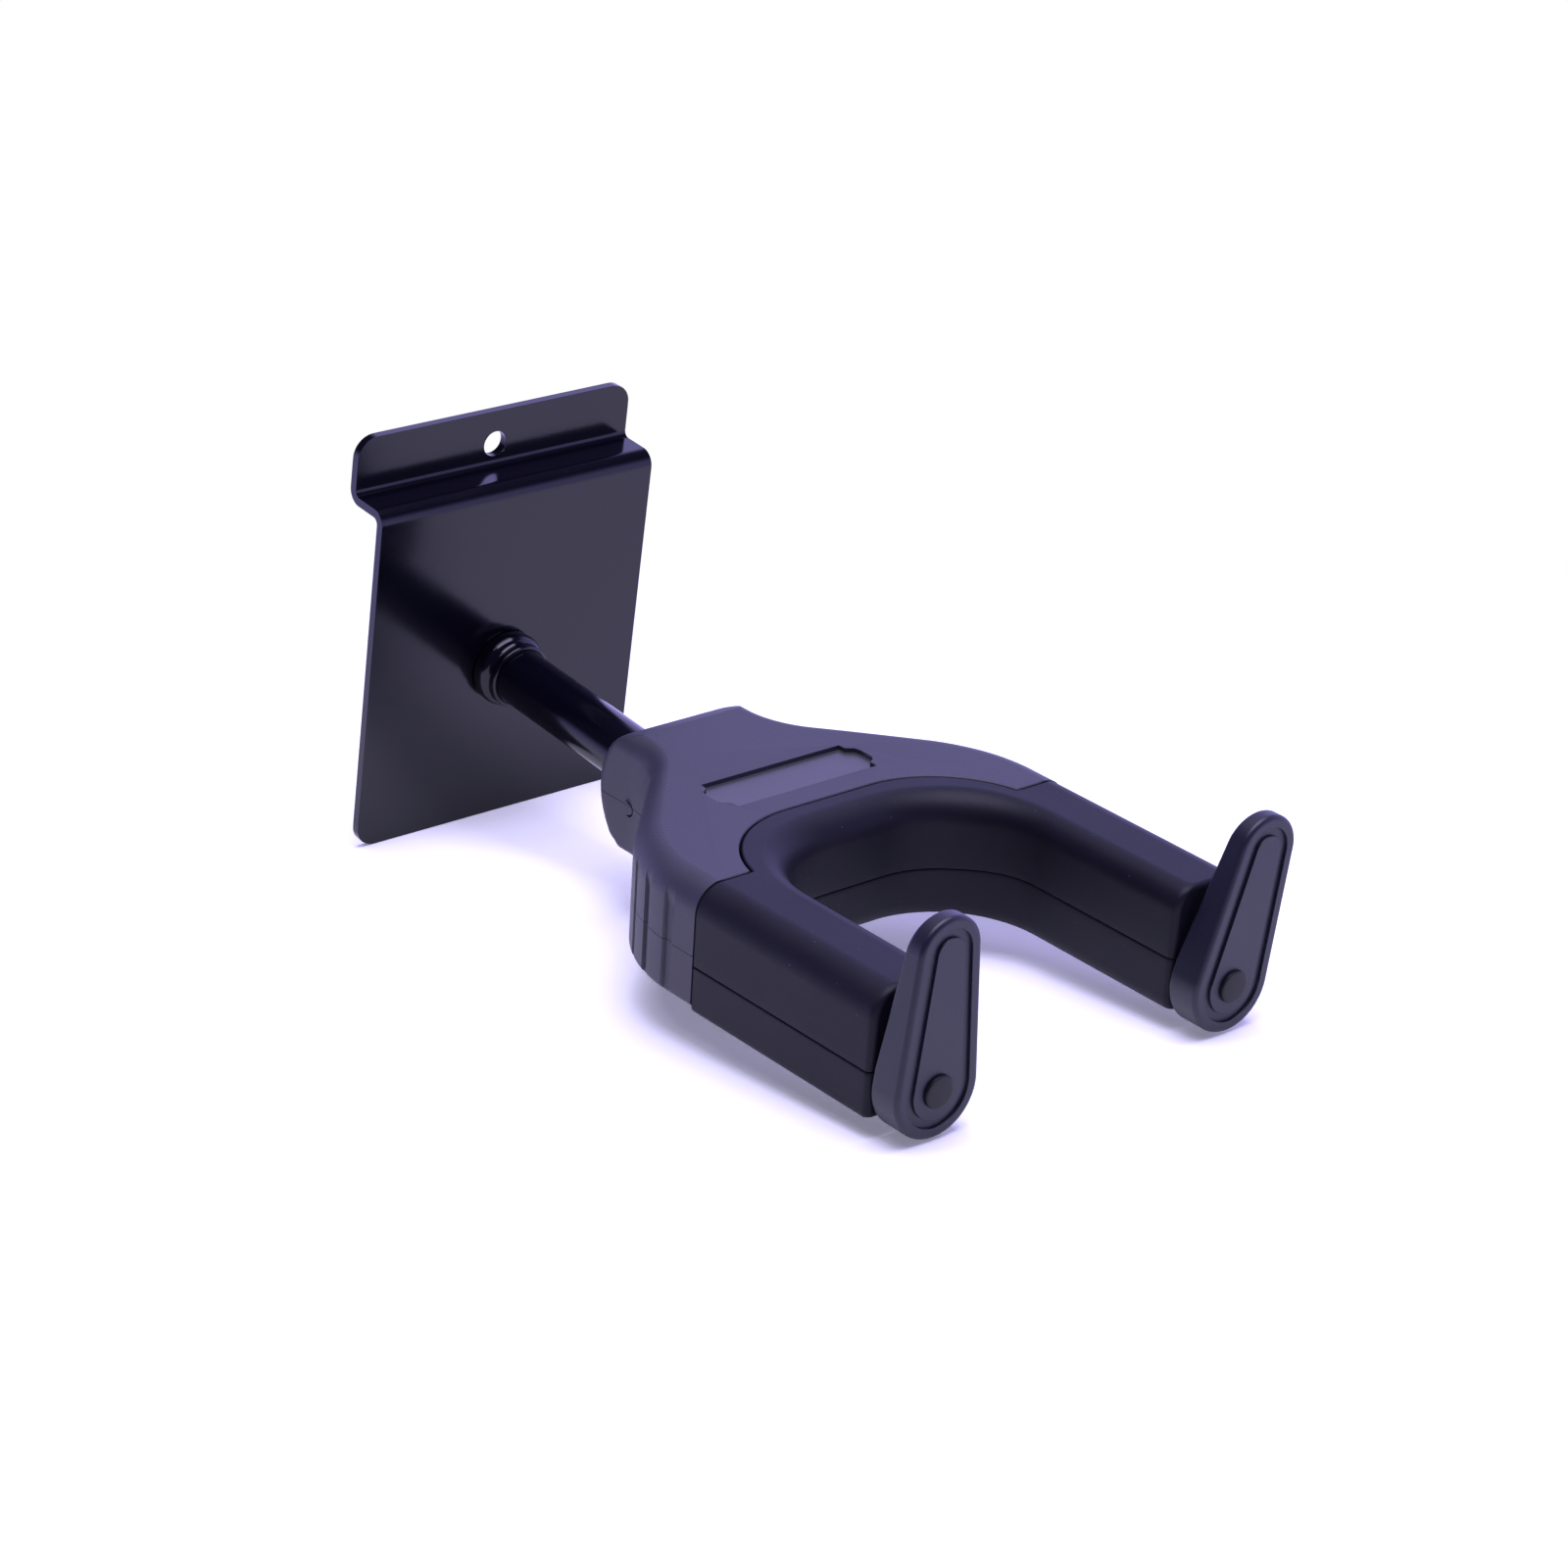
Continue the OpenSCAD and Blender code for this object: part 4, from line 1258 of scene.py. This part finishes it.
@dataclass
class ScrewSet:
    """Cross-recessed screws that hold two halves together from below, in millimetres."""

    node: str
    body: str
    spots: tuple[Point2, ...]
    face: float
    reach_up: float
    shank_r: float = 1.25
    head_r: float = 2.5
    head_t: float = 1.5
    sunk: float = 0.3

    def screw(self, index: int, spot: Point2) -> bpy.types.Object:
        """Makes one screw with a cross recess."""
        low, r, shank = self.face + self.sunk, self.head_r, self.shank_r
        seat = low + self.head_t
        profile = [(0.4, low - 0.02), (1.4, low), (2.1, low + 0.12), (r - 0.08, low + 0.42), (r, low + 0.62),
                   (r, seat - 0.15), (r - 0.2, seat), (shank, seat), (shank, self.reach_up - 0.4),
                   (0.6, self.reach_up)]
        piece = lathe(f"{self.node}_{index}", profile,
                      lambda x, y, up: YOKE.at(spot[0] + x, spot[1] + y, up), 36)
        arms = []
        for wide, deep in ((1.5, 0.36), (0.36, 1.5)):
            ring = [(spot[0] - wide, spot[1] - deep), (spot[0] + wide, spot[1] - deep),
                    (spot[0] + wide, spot[1] + deep), (spot[0] - wide, spot[1] + deep)]
            small = [(spot[0] + (x - spot[0]) * 0.55, spot[1] + (y - spot[1]) * 0.75) for x, y in ring]
            arms.append(to_object("cross_tool", loft([YOKE.ring(ring, low - 0.5), YOKE.ring(ring, low),
                                                      YOKE.ring(small, low + 1.0)])))
        cut(piece, arms)
        return piece

    def build(self, dresser: Dresser) -> None:
        """Makes the screws as one piece."""
        made = bmesh.new()
        for index, spot in enumerate(self.spots):
            screw = self.screw(index, spot)
            made.from_mesh(screw.data)
            bpy.data.objects.remove(screw)
        piece = to_object(f"{self.node}_set", made, 35.0)
        soften(piece, 0.0)
        add(piece, self.body, "bright_steel", dresser, [self.node])


# --------------------------------------------------------------------------- studio


@dataclass(frozen=True)
class SoftBox:
    """A soft box that points at the hanger: metres, watts and colour."""

    name: str
    place: tuple[float, float, float]
    size: float
    power: float
    colour: Colour


@dataclass
class Studio:
    """Camera, lights, white surround and the table that the hanger lies on."""

    eye: tuple[float, float, float] = (-0.55598, -0.69731, 0.45900)
    aim: tuple[float, float, float] = (-0.00140, -0.10193, 0.01901)
    roll: float = 7.583
    lens: float = 100.4
    pitch: float = 10.5
    table_at: float = -0.0382
    table_r: float = 0.34
    table_fade: float = 0.17
    sweep: Colour = (1.12, 1.01, 2.35)
    dim: float = 0.05
    ceiling: tuple[float, float, float] = (-0.45, -0.10, 0.887)
    ceiling_edge: Point2 = (0.1, 0.26)
    table_mid: float = -0.105
    table_sides: int = 96
    boxes: tuple[SoftBox, ...] = (
        SoftBox("overhead_box", (0.0, -0.05, 1.05), 0.9, 21.0, (0.72, 0.68, 1.0)),
        SoftBox("spark_box", (-0.50, 0.10, 0.85), 0.14, 1.0, (0.8, 0.78, 1.0)),
    )

    def camera(self) -> None:
        """Makes the camera."""
        data = bpy.data.cameras.new("camera")
        data.lens, data.sensor_width = self.lens, 36.0
        data.clip_start, data.clip_end = 0.05, 20.0
        camera = bpy.data.objects.new("camera", data)
        eye, aim = Vector(self.eye), Vector(self.aim)
        turn = (aim - eye).to_track_quat("-Z", "Y").to_matrix().to_4x4()
        roll = Matrix.Rotation(math.radians(self.roll), 4, "Z")
        camera.matrix_world = Matrix.Translation(eye) @ turn @ roll
        bpy.context.scene.collection.objects.link(camera)
        bpy.context.scene.camera = camera

    def normal(self) -> Vector:
        """The table's upward direction, which is tilted because the hanger lies on its edge and gates."""
        a = math.radians(self.pitch)
        return Vector((0.0, math.sin(a), math.cos(a)))

    def light(self, box: SoftBox) -> None:
        """Adds one soft box."""
        data = bpy.data.lights.new(box.name, "AREA")
        data.shape, data.size, data.size_y = "RECTANGLE", box.size, box.size
        data.energy, data.color = box.power, box.colour
        lamp = bpy.data.objects.new(box.name, data)
        lamp.location = Vector(box.place)
        lamp.rotation_mode = "QUATERNION"
        lamp.rotation_quaternion = (Vector((0.0, -0.1, 0.0)) - Vector(box.place)).to_track_quat("-Z", "Y")
        bpy.context.scene.collection.objects.link(lamp)

    def world(self) -> None:
        """Makes the surround: white to look at, a bright lavender sweep with a dark ceiling as a light."""
        world = bpy.data.worlds.new("surround")
        bpy.context.scene.world = world
        tree = Tree(world)
        way = tree.node("ShaderNodeTexCoord", output="Generated")
        high = Val(tree, tree.node("ShaderNodeVectorMath", {"operation": "DOT_PRODUCT"},
                                   {0: way, 1: self.ceiling}, "Value"))
        lit = tree.blend(self.sweep, tuple(c * self.dim for c in self.sweep), high.above(*self.ceiling_edge))
        seen = tree.node("ShaderNodeLightPath", output="Is Camera Ray")
        colour = tree.blend(lit, (1.0, 1.0, 1.0), Val(tree, seen))
        tree.close("ShaderNodeOutputWorld", tree.node(
            "ShaderNodeBackground", None, {"Color": colour}, "Background"))

    def table(self) -> None:
        """Makes the table: a disc under the hanger that fades out at its edge."""
        up = self.normal()
        turn = up.to_track_quat("Z", "Y").to_matrix().to_4x4()
        centre = Vector((0.0, self.table_mid, 0.0))
        centre -= up * (centre.dot(up) - self.table_at)
        turns = [2 * math.pi * i / self.table_sides for i in range(self.table_sides)]
        rings = [[Matrix.Translation(centre) @ turn @ Vector((r * math.cos(a), r * math.sin(a), 0.0))
                  for a in turns] for r in (0.002, 0.1, self.table_fade, self.table_r)]
        mesh = loft(rings, False)
        mesh.verts.ensure_lookup_table()
        mesh.faces.new(mesh.verts[:self.table_sides])
        floor = to_object("table_disc", mesh)
        floor.data.materials.append(PaleTable("pale_table", "", (0.98, 0.98, 0.98), 0.6, tuple(centre),
                                              self.table_fade, self.table_r).build())

    def build(self) -> None:
        """Makes the whole studio."""
        self.camera()
        self.world()
        self.table()
        for box in self.boxes:
            self.light(box)
        scene = bpy.context.scene
        scene.view_settings.view_transform = "Standard"


def main() -> None:
    """Builds every sub-assembly in order."""
    logging.basicConfig(level=logging.INFO, format="%(name)s: %(message)s")
    dresser = Dresser(FINISHES)
    dresser.dress_cad()
    WallBracket().build(dresser)
    head = Head()
    head.build(dresser)
    Cradle().build(dresser)
    Gate(Side.LEFT, 1.5).build(dresser)
    Gate(Side.RIGHT, -12.6).build(dresser)
    ScrewSet("shell_screws", "head", head.screw_spots, head.bottom, 7.0).build(dresser)
    ScrewSet("cradle_screws", "cradle", ((-19.0, 121.5), (19.0, 121.5), (-45.2, 160.0), (45.2, 160.0)),
             -16.6, 2.0).build(dresser)
    Studio().build()
    LOG.info("sizes written")


if __name__ == "__main__":
    main()
